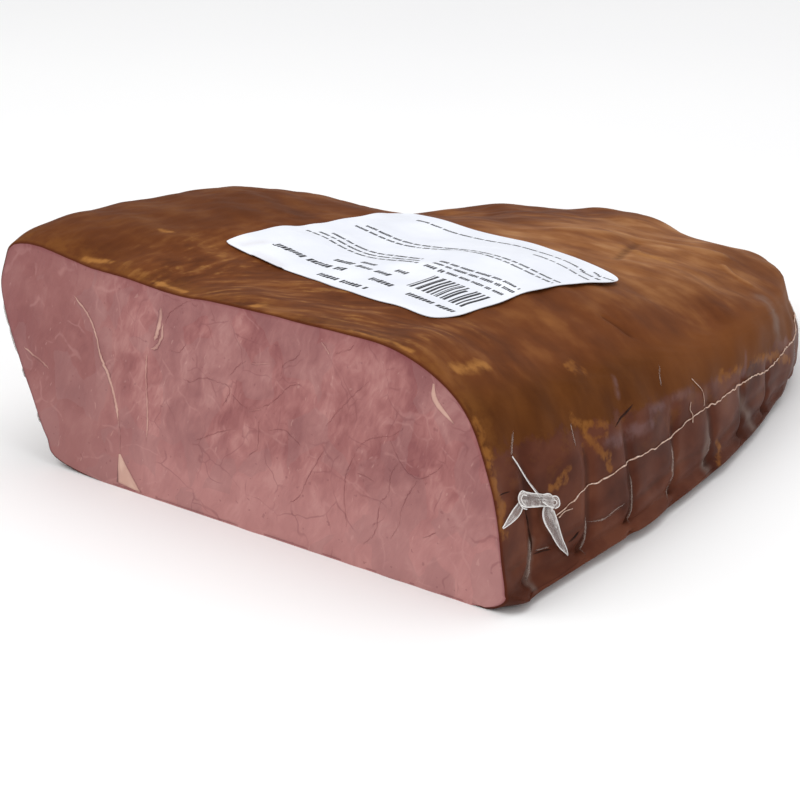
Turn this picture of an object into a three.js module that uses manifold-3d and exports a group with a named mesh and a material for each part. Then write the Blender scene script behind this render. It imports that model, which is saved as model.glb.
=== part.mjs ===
// A half pastrami: one piece of cured, smoked meat with a flat cut face, a paper label on its skin,
// and a knot of clear film with a thin string along its netted side.
// Millimetres. +X runs along the cut face, +Y from the cut face into the meat, +Z up.
// The meat rests on the plane Z = 0 and the origin lies under the middle of its box.
import * as THREE from "three";
import { mergeVertices } from "three/addons/utils/BufferGeometryUtils.js";
import Module from "manifold-3d";

// Driving dimensions of the meat, measured from the middle of the cut face
const CUT_WIDTH = 230; // across the cut face at the waist
const LENGTH = 314; // from the cut face to the tip of the rounded end
const HEIGHT = 87.6; // skin above the middle of the cut face
const WAIST = 27.4; // height of the widest line round the walls
const LEAN = 0.39; // shift of the walls to -X for each millimetre of height
const SKEW = 0.026; // shift of the tip to -X for each millimetre of length
const MIDDLE_X = -6.87; // middle of the whole box, from the middle of the cut face

// Roundness: exponents of the plan's and the walls' superellipses
const PLAN_EXPONENT = 2.6;
const UPPER_EXPONENT = 5.5;
const LOWER_EXPONENT = 5.7;
const BASE_CUT = 1.06; // the rounded underside would reach this share of the waist down, past the flat base

// Fall of the skin, as shares of the height above the waist
const END_FALL = 0.74; // from the cut face to the tip
const END_FALL_POWER = 1.53;
const SIDE_FALL = 0.16; // from the middle to the +X wall

// Swells across the -X half of the skin: a shoulder by the cut, a soft mound, then the dip behind it
const SWELLS = [
  { rise: 4, y: 17, spread: 24 },
  { rise: 3.9, y: 100, spread: 86 },
  { rise: -11.3, y: 212, spread: 56 },
];
const SWELL_NONE_X = -5;
const SWELL_FULL_X = -75;

// Round mounds and hollows of the skin
const MOUNDS = [
  // The low and the high side of the cut's upper edge
  { rise: -9.9, x: -56, spreadX: 60, y: -18, spreadY: 48 },
  { rise: 6.6, x: 93, spreadX: 42, y: 0, spreadY: 45 },
  // The valley under the label, and the skin on its right and behind its far corner
  { rise: -2.6, x: 2, spreadX: 26, y: 115, spreadY: 75 },
  { rise: 3.8, x: 28, spreadX: 30, y: 135, spreadY: 50 },
  { rise: 2.2, x: 46, spreadX: 25, y: 85, spreadY: 45 },
  { rise: 2.8, x: 54, spreadX: 28, y: 132, spreadY: 34 },
  { rise: -2.8, x: -52, spreadX: 22, y: 178, spreadY: 22 },
  // Lumps along the far end
  { rise: -1.3, x: -52, spreadX: 14, y: 280, spreadY: 22 },
  { rise: 3.9, x: -36, spreadX: 26, y: 311, spreadY: 24 },
  { rise: 1.6, x: 60, spreadX: 20, y: 281, spreadY: 30 },
];

// The skin's lip at the cut
const LIP = 1.5;
const LIP_LENGTH = 28;
const LIP_NONE_X = -58;
const LIP_FULL_X = -38;

// Where the walls are pressed in: the +X wall below its shoulder, and the upper edge of the -X wall
// Where they stand out: the +X shoulder, and the -X wall's foot
const RIGHT_FLAT = 7.1;
const RIGHT_FLAT_NONE = 46.5; // heights where the pressing starts and where it is full
const RIGHT_FLAT_FULL = 7;
const RIGHT_FOOT_NONE = 3; // it ends again at the foot
const RIGHT_FOOT_FULL = 8;
const RIGHT_CORNER = 10; // but not nearer than this to the cut
const RIGHT_BULGE = 2.8;
const RIGHT_BULGE_HEIGHT = 73.5;
const RIGHT_BULGE_SPREAD = 18;
const RIGHT_SHARES = [0.3, 0.9]; // shares of the half width between which it sets in
const LEFT_FLAT = 5.7;
const LEFT_FLAT_HEIGHT = 81;
const LEFT_FLAT_SPREAD = 10;
const LEFT_FOOT = 4.2;
const LEFT_FOOT_NONE = 11;
const LEFT_FOOT_FULL = 2;
const LEFT_SHARES = [-0.6, -0.95];
const LEFT_FOOT_SHARES = [-0.4, -0.75];

// Marks of the net on the walls: cushions between upright grooves, and one groove round all of them
const CUSHION_LENGTH = 35.8; // along the +X and -X walls
const ROWS_PER_CUSHION = 5; // rows of the grid
const FIRST_GROOVE = 2 * CUSHION_LENGTH / ROWS_PER_CUSHION; // from the cut face
const CUSHIONS_ALONG_END = 7;
const GROOVE_DEPTH = 1.8;
const GROOVE_WIDTH = 0.19; // share of a cushion
const ROUND_GROOVE_HEIGHT = 14.2;
const ROUND_GROOVE_WIDTH = 3.5;
const NET_TOP = 54.5; // the grooves fade out up to this height by the cut
const NET_TOP_FALL = 0.09; // its fall for each millimetre of length
const NET_FADE = 14;
const NET_START = 8; // they are at full depth this far from the cut face

// Grid cells of the meat along X, Y and Z
const MEAT_CELLS = [28, 34, 16];

// The label: a sheet of paper with four corners in plan, which lies on the skin
const LABEL_CORNERS = {
  nearLeft: new THREE.Vector2(-58, 52),
  nearRight: new THREE.Vector2(51.5, 40.5),
  farLeft: new THREE.Vector2(-58.5, 163),
  farRight: new THREE.Vector2(53.5, 161),
};
const LABEL_THICKNESS = 0.3;
const LABEL_CORNER_EXPONENT = 16;
const LABEL_LIFT = 1.4; // how far the paper rises off the skin by its far +X corner
const LABEL_LIFT_NONE = new THREE.Vector2(-35, 110); // where the rise starts in plan, and where it is full
const LABEL_LIFT_FULL = new THREE.Vector2(10, 165);
const LABEL_BULGE = { rise: 0.6, x: 52, spreadX: 24, y: 130, spreadY: 28 };
const LABEL_CELLS = 18;

// The string: a thin thread that runs round the walls from the knot to the far side of the cut
const STRING_DIAMETER = 1;
const STRING_SIDES = 8;
const STRING_STEPS = 80;
const STRING_POINTS = 60;
const STRING_HEIGHT = 28.2;
const STRING_DROP = 2.7; // it starts this much lower, at the knot
const STRING_START = 0.104; // shares of the walls' path, from the +X end of the cut face to the -X end
const STRING_LEVEL = 0.17;
const STRING_END = 3.96;
const STRING_CRINKLE = 0.5;
const STRING_CRINKLES = 47;

// The knot: ribbons of clear film a little off the +X wall, by their distance from the cut and their height
const FILM_THICKNESS = 0.4;
const FILM_CELLS = [12, 2, 1];
const KNOT_STAND = 1.6; // film in the knot, off the wall
const TIP_STAND = 0.9; // film at a free tip, off the wall
const TIP_WIDTH = 0.6;
const KNOT_RIBBONS = [
  // The bow that the knot gathers, from the loop on its left to its right end
  [
    { y: 9.3, z: 38.1, stand: KNOT_STAND, width: 2.6 },
    { y: 11.6, z: 37.7, stand: KNOT_STAND, width: 5 },
    { y: 15.4, z: 36.5, stand: KNOT_STAND, width: 5.4 },
    { y: 23, z: 33.8, stand: KNOT_STAND, width: 4.2 },
    { y: 30.8, z: 31.2, stand: KNOT_STAND, width: 3.4 },
  ],
  // A thin strand up to the skin
  [
    { y: 23.5, z: 34, stand: KNOT_STAND, width: 1.4 },
    { y: 17, z: 43.5, stand: TIP_STAND, width: 0.9 },
    { y: 12.8, z: 52, stand: TIP_STAND, width: TIP_WIDTH },
  ],
  // The long tail
  [
    { y: 27.6, z: 31.6, stand: KNOT_STAND, width: 3 },
    { y: 26.7, z: 26.8, stand: KNOT_STAND, width: 7 },
    { y: 29.9, z: 20.2, stand: KNOT_STAND, width: 5.4 },
    { y: 35.4, z: 13.8, stand: TIP_STAND, width: 2.8 },
    { y: 40.3, z: 8.1, stand: TIP_STAND, width: TIP_WIDTH },
  ],
  // The short tail
  [
    { y: 11.5, z: 37.5, stand: KNOT_STAND, width: 2 },
    { y: 9.7, z: 35.1, stand: KNOT_STAND, width: 3.4 },
    { y: 7.8, z: 33.2, stand: KNOT_STAND, width: 4 },
    { y: 3.5, z: 30, stand: TIP_STAND, width: TIP_WIDTH },
  ],
];

const GAP = 0.35; // air left between neighbouring pieces
const FAR = 300; // distance from which a surface is felt for
const HEIGHT_STEPS = 16; // enough to find a height on a wall to a hundredth of a millimetre

// Colour and roughness of each piece
const LOOKS = {
  meat: { color: 0x8a5a3e, roughness: 0.55, metalness: 0 },
  label: { color: 0xf4f5f8, roughness: 0.7, metalness: 0 },
  string: { color: 0xd9c3b4, roughness: 0.6, metalness: 0 },
  film_tie: { color: 0xcfcac8, roughness: 0.2, metalness: 0 },
};

const DOWN = new THREE.Vector3(0, 0, -1);
const LEFT = new THREE.Vector3(-1, 0, 0);
const WALL_OUT = new THREE.Vector3(1, 0, LEAN).normalize(); // out of the +X wall

const wasm = await Module();
wasm.setup();

// A smooth step from 0 at one value to 1 at another, in either direction
function step(none, full, value) {
  const t = THREE.MathUtils.clamp((value - none) / (full - none), 0, 1);
  return t * t * (3 - 2 * t);
}

// 1 at the middle of a bell-shaped curve, falling to 0 beside it
function bell(off, spread) {
  return Math.exp(-((off / spread) ** 2));
}

// A closed grid of cells round a box from -1 to 1 each way, whose vertices a function then moves into place
function shapedBox(cells, place) {
  const box = new THREE.BoxGeometry(2, 2, 2, ...cells);
  box.deleteAttribute("normal");
  box.deleteAttribute("uv");
  const spots = box.attributes.position;
  const spot = new THREE.Vector3();
  for (let i = 0; i < spots.count; i += 1) {
    place(spot.fromBufferAttribute(spots, i));
    spots.setXYZ(i, spot.x, spot.y, spot.z);
  }
  const geometry = mergeVertices(box);
  geometry.computeVertexNormals();
  return geometry;
}

// Place in the meat, as shares of its half width, length and height, of a place in the half box
function roundedPlace(c) {
  const wall = c.z >= 0 ? UPPER_EXPONENT : LOWER_EXPONENT;
  const plan = (Math.abs(c.x) ** PLAN_EXPONENT + Math.abs(c.y) ** PLAN_EXPONENT) ** (1 / PLAN_EXPONENT);
  const size = (plan ** wall + Math.abs(c.z) ** wall) ** (1 / wall);
  const reach = Math.max(Math.abs(c.x), Math.abs(c.y), Math.abs(c.z));
  return size > 0 ? c.clone().multiplyScalar(reach / size) : c.clone();
}

// Height of a round mound at a place in plan
function moundRise(mound, x, y) {
  return mound.rise * bell(x - mound.x, mound.spreadX) * bell(y - mound.y, mound.spreadY);
}

// Rise of the skin at a place in plan, from all the swells and mounds
function skinRise(x, y) {
  const swells = SWELLS.reduce((sum, s) => sum + s.rise * bell(y - s.y, s.spread), 0);
  const mounds = MOUNDS.reduce((sum, mound) => sum + moundRise(mound, x, y), 0);
  const lip = LIP * step(LIP_NONE_X, LIP_FULL_X, x) * bell(y, LIP_LENGTH);
  return swells * step(SWELL_NONE_X, SWELL_FULL_X, x) + mounds + lip;
}

// Shift in X of the walls where they are pressed in or stand out, by share of the half width, length and height
function pressed(share, y, z) {
  const foot = Math.max(step(RIGHT_FOOT_NONE, RIGHT_FOOT_FULL, z), step(RIGHT_CORNER, 0, y));
  const flat = RIGHT_FLAT * step(RIGHT_FLAT_NONE, RIGHT_FLAT_FULL, z) * foot;
  const bulge = RIGHT_BULGE * bell(z - RIGHT_BULGE_HEIGHT, RIGHT_BULGE_SPREAD);
  const edge = LEFT_FLAT * bell(z - LEFT_FLAT_HEIGHT, LEFT_FLAT_SPREAD);
  const leftFoot = LEFT_FOOT * step(LEFT_FOOT_NONE, LEFT_FOOT_FULL, z);
  const left = edge * step(...LEFT_SHARES, share) - leftFoot * step(...LEFT_FOOT_SHARES, share);
  return left + (bulge - flat) * step(...RIGHT_SHARES, share);
}

// Outward direction of the wall in plan
function wallDirection(u) {
  const power = PLAN_EXPONENT - 1;
  const across = Math.sign(u.x) * Math.abs(u.x) ** power / (CUT_WIDTH / 2);
  const along = Math.abs(u.y) ** power / LENGTH;
  return new THREE.Vector3(across, along, 0).normalize();
}

// Point of the meat's smooth surface for a place in the half box, moved outward in plan by a margin
function meatPoint(c, margin) {
  const u = roundedPlace(c);
  const x = u.x * CUT_WIDTH / 2;
  const y = u.y * LENGTH;
  const fall = 1 - END_FALL * u.y ** END_FALL_POWER - SIDE_FALL * u.x;
  const upper = (HEIGHT - WAIST) * fall + skinRise(x, y);
  const rise = u.z > 0 ? u.z * upper : u.z * WAIST * BASE_CUT;
  const z = Math.max(WAIST + rise, 0);
  const point = new THREE.Vector3(x - LEAN * rise - SKEW * y + pressed(u.x, y, z), y, z);
  return margin ? point.addScaledVector(wallDirection(u), margin) : point;
}

// Depth of the net's grooves at a place in the half box and its point on the smooth surface
function grooveDepth(c, point) {
  const isWall = Math.abs(c.x) === 1;
  const isEnd = c.y === 1;
  if (!isWall && !isEnd) return 0;
  const alongWall = (point.y - FIRST_GROOVE) / CUSHION_LENGTH;
  const alongEnd = (c.x + 1) / 2 * CUSHIONS_ALONG_END + 0.5;
  const along = isWall ? alongWall : alongEnd;
  const upright = bell(along - Math.round(along), GROOVE_WIDTH);
  const round = bell(point.z - ROUND_GROOVE_HEIGHT, ROUND_GROOVE_WIDTH);
  const top = NET_TOP - NET_TOP_FALL * point.y;
  const fade = step(0, NET_START, point.y) * step(top, top - NET_FADE, point.z);
  return GROOVE_DEPTH * Math.max(upright, round) * fade;
}

// Place along the half box of a row of the grid: the rows keep to the cushions along the walls
function rowPlace(row) {
  if (row === MEAT_CELLS[1]) return 1;
  const u = row * CUSHION_LENGTH / ROWS_PER_CUSHION / LENGTH;
  return u / (1 - u ** PLAN_EXPONENT) ** (1 / PLAN_EXPONENT);
}

// The meat: half a rounded loaf with a flat cut face and a flat base
function meatGeometry() {
  return shapedBox(MEAT_CELLS, (spot) => {
    const c = spot.clone();
    c.y = rowPlace(Math.round((c.y + 1) / 2 * MEAT_CELLS[1]));
    const depth = grooveDepth(c, meatPoint(c, 0));
    spot.copy(meatPoint(c, -depth));
  });
}

// The first point of the meat that is met from outside, from a point and in a direction
function felt(meat, from, direction) {
  return new THREE.Raycaster(from, direction).intersectObject(meat)[0].point;
}

// Place in plan on the label, for shares from -1 to 1 across and along it
function labelPlan(across, along) {
  const { nearLeft, nearRight, farLeft, farRight } = LABEL_CORNERS;
  const near = nearLeft.clone().lerp(nearRight, (across + 1) / 2);
  const far = farLeft.clone().lerp(farRight, (across + 1) / 2);
  return near.lerp(far, (along + 1) / 2);
}

// How far the paper rises off the skin at a place in plan
function labelLift(x, y) {
  const right = step(LABEL_LIFT_NONE.x, LABEL_LIFT_FULL.x, x);
  const far = step(LABEL_LIFT_NONE.y, LABEL_LIFT_FULL.y, y);
  return LABEL_LIFT * right * far + moundRise(LABEL_BULGE, x, y);
}

// The label: a sheet of paper with rounded corners and soft waves, laid on the skin
function labelGeometry(meat) {
  const q = LABEL_CORNER_EXPONENT;
  return shapedBox([LABEL_CELLS, LABEL_CELLS, 1], (spot) => {
    const face = spot.z;
    const reach = Math.max(Math.abs(spot.x), Math.abs(spot.y));
    const size = (Math.abs(spot.x) ** q + Math.abs(spot.y) ** q) ** (1 / q);
    const round = size > 0 ? reach / size : 1;
    const { x, y } = labelPlan(spot.x * round, spot.y * round);
    const lift = GAP + labelLift(x, y) + (face > 0 ? LABEL_THICKNESS : 0);
    spot.copy(felt(meat, new THREE.Vector3(x, y, FAR), DOWN));
    spot.z += lift;
  });
}

// Place in the half box for a share of the walls' path: +X wall up to 1, end up to 3, -X wall up to 4
function wallPlace(share) {
  if (share < 1) return new THREE.Vector3(1, share, 0);
  if (share < 3) return new THREE.Vector3(2 - share, 1, 0);
  return new THREE.Vector3(-1, 4 - share, 0);
}

// Point off the wall at a share of the walls' path and a height, found by stepping up or down to that height
function wallPoint(share, height, margin) {
  const place = wallPlace(share);
  for (let i = 0; i < HEIGHT_STEPS; i += 1) {
    place.z += (height - meatPoint(place, 0).z) / (HEIGHT - WAIST);
  }
  return meatPoint(place, margin);
}

// Point of the string's middle line
function stringPoint(t) {
  const share = THREE.MathUtils.lerp(STRING_START, STRING_END, t);
  const crinkle = STRING_CRINKLE * Math.sin(t * STRING_CRINKLES * Math.PI);
  const height = STRING_HEIGHT - STRING_DROP * step(STRING_LEVEL, STRING_START, share) + crinkle;
  return wallPoint(share, height, STRING_DIAMETER / 2 + GAP);
}

// The string: a thin tube along its middle line
function stringGeometry() {
  const points = [];
  for (let i = 0; i <= STRING_POINTS; i += 1) points.push(stringPoint(i / STRING_POINTS));
  const section = new THREE.Shape();
  for (let i = 0; i < STRING_SIDES; i += 1) {
    const angle = 2 * Math.PI * i / STRING_SIDES;
    const corner = [Math.cos(angle) * STRING_DIAMETER / 2, Math.sin(angle) * STRING_DIAMETER / 2];
    if (i === 0) section.moveTo(...corner);
    else section.lineTo(...corner);
  }
  const route = new THREE.CatmullRomCurve3(points);
  return new THREE.ExtrudeGeometry(section, { steps: STRING_STEPS, extrudePath: route, curveSegments: 1 });
}

// A strip of film along a row of points that stand off the +X wall
function ribbonGeometry(meat, row) {
  const points = row.map((p) => {
    const point = felt(meat, new THREE.Vector3(FAR, p.y, p.z), LEFT);
    return point.addScaledVector(WALL_OUT, p.stand);
  });
  const route = new THREE.CatmullRomCurve3(points);
  return shapedBox(FILM_CELLS, (spot) => {
    const t = (spot.x + 1) / 2;
    const first = Math.min(Math.floor(t * (row.length - 1)), row.length - 2);
    const width = THREE.MathUtils.lerp(row[first].width, row[first + 1].width, t * (row.length - 1) - first);
    const along = route.getTangent(t);
    const across = new THREE.Vector3().crossVectors(WALL_OUT, along).normalize();
    const out = new THREE.Vector3().crossVectors(along, across);
    const half = { across: spot.y * width / 2, out: spot.z * FILM_THICKNESS / 2 };
    spot.copy(route.getPoint(t)).addScaledVector(across, half.across).addScaledVector(out, half.out);
  });
}

// A closed geometry as a solid that can be joined to others
function solid(geometry) {
  const vertProperties = geometry.attributes.position.array;
  const triVerts = new Uint32Array(geometry.index.array);
  return new wasm.Manifold(new wasm.Mesh({ numProp: 3, vertProperties, triVerts }));
}

// The film knot: its ribbons joined into one piece
function filmGeometry(meat) {
  const ribbons = KNOT_RIBBONS.map((row) => solid(ribbonGeometry(meat, row)));
  const { vertProperties, triVerts } = ribbons.reduce((whole, ribbon) => whole.add(ribbon)).getMesh();
  const geometry = new THREE.BufferGeometry();
  geometry.setAttribute("position", new THREE.BufferAttribute(vertProperties, 3));
  geometry.setIndex(new THREE.BufferAttribute(triVerts, 1));
  geometry.computeVertexNormals();
  return geometry;
}

// One named piece with a material of its own
function piece(name, geometry) {
  const mesh = new THREE.Mesh(geometry, new THREE.MeshStandardMaterial(LOOKS[name]));
  mesh.name = name;
  return mesh;
}

const pastrami = new THREE.Group();
const meat = piece("meat", meatGeometry());
pastrami.add(meat);
pastrami.add(piece("label", labelGeometry(meat)));
pastrami.add(piece("string", stringGeometry()));
pastrami.add(piece("film_tie", filmGeometry(meat)));
pastrami.position.set(-MIDDLE_X, -LENGTH / 2, 0);

export default pastrami;
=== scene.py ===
# Half of a smoked pastrami: brown streaked skin, netted walls, a pink cut face, a paper label
# with plain dashes, a knot of clear film and a thin string.
# Sizes are millimetres from the middle of the cut face; to_row turns them into the frame's metres.
# Pairs such as SWELL_X say where a smooth step is none and where it is full.
# Rows of random waves, such as HOLLOWS, are (height, length, seed).
import math
import bmesh
import bpy
import numpy as np
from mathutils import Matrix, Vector
from mathutils.bvhtree import BVHTree


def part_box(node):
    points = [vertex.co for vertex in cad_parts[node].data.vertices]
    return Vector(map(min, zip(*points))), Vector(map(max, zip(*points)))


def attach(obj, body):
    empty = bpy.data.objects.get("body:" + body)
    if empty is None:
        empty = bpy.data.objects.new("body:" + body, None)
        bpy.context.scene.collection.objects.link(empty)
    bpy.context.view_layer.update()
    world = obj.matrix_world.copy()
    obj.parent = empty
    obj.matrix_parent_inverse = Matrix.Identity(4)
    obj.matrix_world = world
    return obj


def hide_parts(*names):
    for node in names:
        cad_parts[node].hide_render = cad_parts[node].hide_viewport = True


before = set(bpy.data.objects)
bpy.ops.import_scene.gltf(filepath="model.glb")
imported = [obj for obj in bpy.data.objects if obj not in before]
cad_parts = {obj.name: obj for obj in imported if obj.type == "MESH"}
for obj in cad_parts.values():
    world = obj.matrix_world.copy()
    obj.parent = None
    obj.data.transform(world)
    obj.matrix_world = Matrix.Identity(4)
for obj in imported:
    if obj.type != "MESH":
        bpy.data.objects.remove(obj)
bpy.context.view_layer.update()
MEAT_LOW, MEAT_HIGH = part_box("meat")
MM = 0.001

# The meat's driving sizes
LENGTH = (MEAT_HIGH.y - MEAT_LOW.y) / MM
CUT_WIDTH = 230.0
HEIGHT = 87.6
WAIST = 27.4
LEAN = 0.39
SKEW = 0.026
CUT_MIDDLE_X = 6.87  # the middle of the cut face, from the frame's origin
PLAN_EXPONENT = 2.6
UPPER_EXPONENT = 5.5
LOWER_EXPONENT = 5.7
BASE_CUT = 1.06
END_FALL = 0.74
END_FALL_POWER = 1.53
SIDE_FALL = 0.16
SWELLS = ((4, 17, 24), (3.9, 100, 86), (-11.3, 212, 56))  # rise, distance from the cut, spread
SWELL_X = (-5, -75)
MOUNDS = (  # rise, X, spread, distance from the cut, spread
    (-9.9, -56, 60, -18, 48),
    (6.6, 93, 42, 0, 45),
    (-2.6, 2, 26, 115, 75),
    (3.8, 28, 30, 135, 50),
    (2.2, 46, 25, 85, 45),
    (2.8, 54, 28, 132, 34),
    (-2.8, -52, 22, 178, 22),
    (-1.3, -52, 14, 280, 22),
    (3.9, -36, 26, 311, 24),
    (-1.4, 66, 20, 274, 28),
    (2.4, 72, 20, 105, 30),
    (-3.4, 78, 22, 168, 22),
    (-2, -34, 16, 92, 26),
)
LIP, LIP_LENGTH = 1.5, 28  # how far the skin stands up at the cut, and over what length
LIP_X = (-58, -38)
RIGHT_SIDE, LEFT_SIDE = (0.3, 0.9), (-0.4, -0.75)  # shares of the half width
RIGHT_FLAT = 7.1  # how far the +X wall is pressed flat below its shoulder
RIGHT_FLAT_HEIGHTS = (46.5, 7)
RIGHT_FOOT_HEIGHTS = (3, 8)
RIGHT_CORNER = 10  # nearer than this to the cut the foot stays pressed in
CORNER_PRESS = 0.9  # share of the press that is left there
CORNER_CUT = 0.06  # how much squarer the foot is there
LEFT_FOOT = 6  # how far the -X wall's foot stands out
LEFT_FOOT_HEIGHTS = (11, 2)
ALL_LENGTH = (-2, -1)
WALL_BELLS = (  # shift along X, height, spread, shares of the half width, distances from the cut
    (2.8, 73.5, 18, RIGHT_SIDE, ALL_LENGTH),
    (2.8, 18, 10, (0.3, 0.6), (215, 265)),
    (4.8, 81, 10, (-0.6, -0.95), ALL_LENGTH),
)

# Fine grid of the meat: cells along X, Y and Z, closer together by the cut
MEAT_CELLS = (112, 200, 76)
CUT_CROWDING = 1.2
RIM_RADIUS = 0.9
# The dark edge of the cut face and its unevenness, by shares of its half sizes
RIM_REACH, HOLLOW_REACH = (0.985, 1), (1, 0.9)
UPPER_RIM = 0.4
UPPER_RIM_REACH, UPPER_RIM_HEIGHTS = (0.86, 0.99), (30, 60)
HOLLOWS = ((0.22, 17, 21),)

# Relief of the skin: its lumps, and the wrinkles along its streaks
LUMPS = ((0.7, 58, 1), (0.28, 20, 2))
WRINKLES = ((0.1, 9, 3),)
WRINKLE_STRETCH = (0.4, 1, 0.5)
WRINKLE_HEIGHTS = (-6, 6)  # above the net's edge
RELIEF_START = 7  # distance from the cut where the relief is full
RELIEF_AT_CUT = 0.45  # share of it at the cut

# Streaks of the skin follow the curves y = STREAK_SLOPE x + STREAK_BEND x^2 + any distance
STREAK_SLOPE = 0.78
STREAK_BEND = -0.0065
STREAK_SPACING = 0.8
STREAK_STEPS = 400
STREAK_SLANT = 0.5  # how far the ends of neighbouring streaks are set off

# Marks of the net on the walls
FIRST_GROOVE = 20  # distance of the first upright groove from the cut
CUSHION_LENGTH = 32.7
CUSHIONS_ALONG_END = 7
GROOVE_DEPTH = 1.3
END_GROOVES = 0.4  # share of that depth on the rounded end
END_START = (0.7, 1.1)  # ratios of length to width where the walls turn into the end
GROOVE_WIDTH = 0.075  # share of a cushion
CUSHION_ROUND = 0.6  # how far a cushion's whole face curves back to its grooves
GROOVE_WANDER = ((0.05, 60, 11),)  # by shares of a cushion
GROOVE_LEAN = 6  # how far the upright grooves bend towards the cut at their feet
GROOVE_LEAN_HEIGHTS = (15, 4)
FOOT_DEEPER = 0.5  # share by which grooves are deeper at the foot
FOOT_HEIGHTS = (12, 3)
ROUND_GROOVE = 0.7  # share of the depth in the groove that runs round
ROUND_GROOVE_HEIGHT, ROUND_GROOVE_WIDTH = 14.2, 2.4
ROUND_GROOVE_WANDER = ((0.8, 50, 12),)
NET_EDGE = 56.5  # height of the netted zone's upper edge at the cut
NET_EDGE_FALL = 0.13  # its fall for each millimetre of length
NET_FADE = (4, -12)  # heights above that edge
NET_START = (0, 6)  # distances from the cut
UPRIGHT = (0.85, 0.5)  # how far a face looks up where it counts as a wall

# The label, with its corners in plan: near left, near right, far right, far left
LABEL_CORNERS = ((-58, 52), (51.5, 40.5), (53.5, 161), (-58.5, 163))
LABEL_THICKNESS = 0.25
LABEL_GAP = 0.3
LABEL_ROUND = 16  # exponent of its corners
LABEL_SHARP = 160  # exponent of the near left corner
LABEL_LIFT = 0.5  # how far the paper rises off the skin by its far +X corner
LABEL_LIFT_X, LABEL_LIFT_Y = (-35, 10), (110, 165)
LABEL_BULGE = (0.3, 52, 24, 130, 28)  # rise, X, spread, distance from the cut, spread
LABEL_FOLDS = (  # dents by the near left corner: reach, then a line in plan
    (3.5, ((-52, 55.5), (-49, 64))),
    (3, ((-42, 53), (-29, 51))),
)
LABEL_FOLD_DEPTH, LABEL_FOLD_CREST = 0.6, 0.6
LABEL_CELLS = 64
LABEL_EASING = 30  # how many times the paper is drawn smooth

# The string, by its height on the walls and by shares of the walls' path
STRING_RADIUS = 0.21
STRING_HEIGHT = 28.2
STRING_START, STRING_END = 0.104, 3.96
STRING_DROP = 2.7  # how much lower it starts
STRING_DROP_SHARES = (0.17, STRING_START)
STRING_FALL = 5.5  # how much lower it runs at the far end
STRING_FALL_SHARES = (0.56, 0.84)
STRING_SAG = 0.7  # how far things on the walls sink into the hollows
STRING_STEPS = 900
STRING_LENGTH = 640
STRING_WAVES = ((0.5, 17, 31), (0.24, 3, 32))
STRING_UNEVEN = ((0.3, 3, 33),)  # by shares of the radius
STRING_BRANCHES = (  # radius, then points on the +X wall by distance from the cut and height
    (0.2, ((133.4, 27.2), (133.8, 30.2), (132, 32.8), (133.3, 35.3))),
    (0.16, ((137.4, 42.8), (144, 36.7), (145, 32.8), (144.3, 30.2))),
    (0.24, ((34.3, 24), (38.2, 24.9), (43.4, 24.2))),
)
BRANCH_STEPS, BRANCH_TIP = 24, 0.5
STRING_SIDES, BRANCH_SIDES = 7, 6
WALL_OUT = np.array([1, 0, LEAN]) / math.hypot(1, LEAN)

# The camera of the photograph, from the middle of the cut face
CAMERA_TARGET = (8.64, 75, 31.49)
CAMERA_AZIMUTH = 38.42
CAMERA_ELEVATION = 20.745
CAMERA_DISTANCE = 957
CAMERA_LENS = 113.1
CAMERA_REACH = 100  # metres

FAR = 300
OUTSIDE = 20  # how far off the walls a search for their surface starts
WALL_STAND = 0.02  # how far thin lines stand off the walls
SEARCH_ROUNDS = 16
DOWN, LEFT, INWARD = (0, 0, -1), (-1, 0, 0), (0, 1, 0)
X, Y, Z = range(3)
TINY = 1e-9
WAVES, WAVE_LENGTHS = 18, (0.7, 1.5)  # how many waves make a ripple, and shares of its length
SHARP_ANGLE = math.radians(48)


def to_row(points):
    """The frame's metres of points in millimetres from the middle of the cut face."""
    shift = np.array([CUT_MIDDLE_X, 0, 0])
    return (np.asarray(points, float) + shift) * MM + np.array([0, MEAT_LOW.y, 0])


def smooth(none, full, value):
    """A smooth step from 0 at one value to 1 at another, in either direction."""
    t = np.clip((value - none) / (full - none), 0, 1)
    return t * t * (3 - 2 * t)


def bell(value, middle, spread):
    """1 at a middle value, falling smoothly to both sides."""
    return np.exp(-(((value - middle) / spread) ** 2))


def mound(x, y, rise, at_x, spread_x, at_y, spread_y):
    """Rise of one round mound at places in plan."""
    return rise * bell(x, at_x, spread_x) * bell(y, at_y, spread_y)


def tapered(count, blunt, least):
    """1 along the middle of a line, falling to a least value at both ends."""
    return np.clip(np.sin(np.pi * np.linspace(0, 1, count)) / blunt, least, 1)


def unit(vectors):
    """Vectors of length one."""
    return vectors / np.maximum(np.linalg.norm(vectors, axis=-1, keepdims=True), TINY)


def ripple(points, length, seed):
    """Smooth random waves of about unit height and the given length."""
    draw = np.random.default_rng(seed)
    ways = unit(draw.normal(size=(WAVES, 3)))
    lengths = length * draw.uniform(*WAVE_LENGTHS, WAVES)
    starts = draw.uniform(0, 2 * np.pi, WAVES)
    turns = points @ (ways * 2 * np.pi / lengths[:, None]).T + starts
    return np.sin(turns).sum(axis=1) / math.sqrt(WAVES / 2)


def ripples(points, rows):
    """The sum of smooth random waves, from rows of height, length and seed."""
    return sum(height * ripple(points, length, seed) for height, length, seed in rows)


def curve(points, count):
    """A smooth curve through rows of numbers, at a count of places."""
    p = np.asarray(points, float)
    p = np.vstack([2 * p[0] - p[1], p, 2 * p[-1] - p[-2]])
    t = np.linspace(0, len(p) - 3 - TINY, count)
    i = t.astype(int)
    f = (t - i)[:, None]
    a, b, c, d = p[i], p[i + 1], p[i + 2], p[i + 3]
    return 0.5 * (2 * b + (c - a) * f + (2 * a - 5 * b + 4 * c - d) * f**2 + (3 * b - a - 3 * c + d) * f**3)


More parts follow.
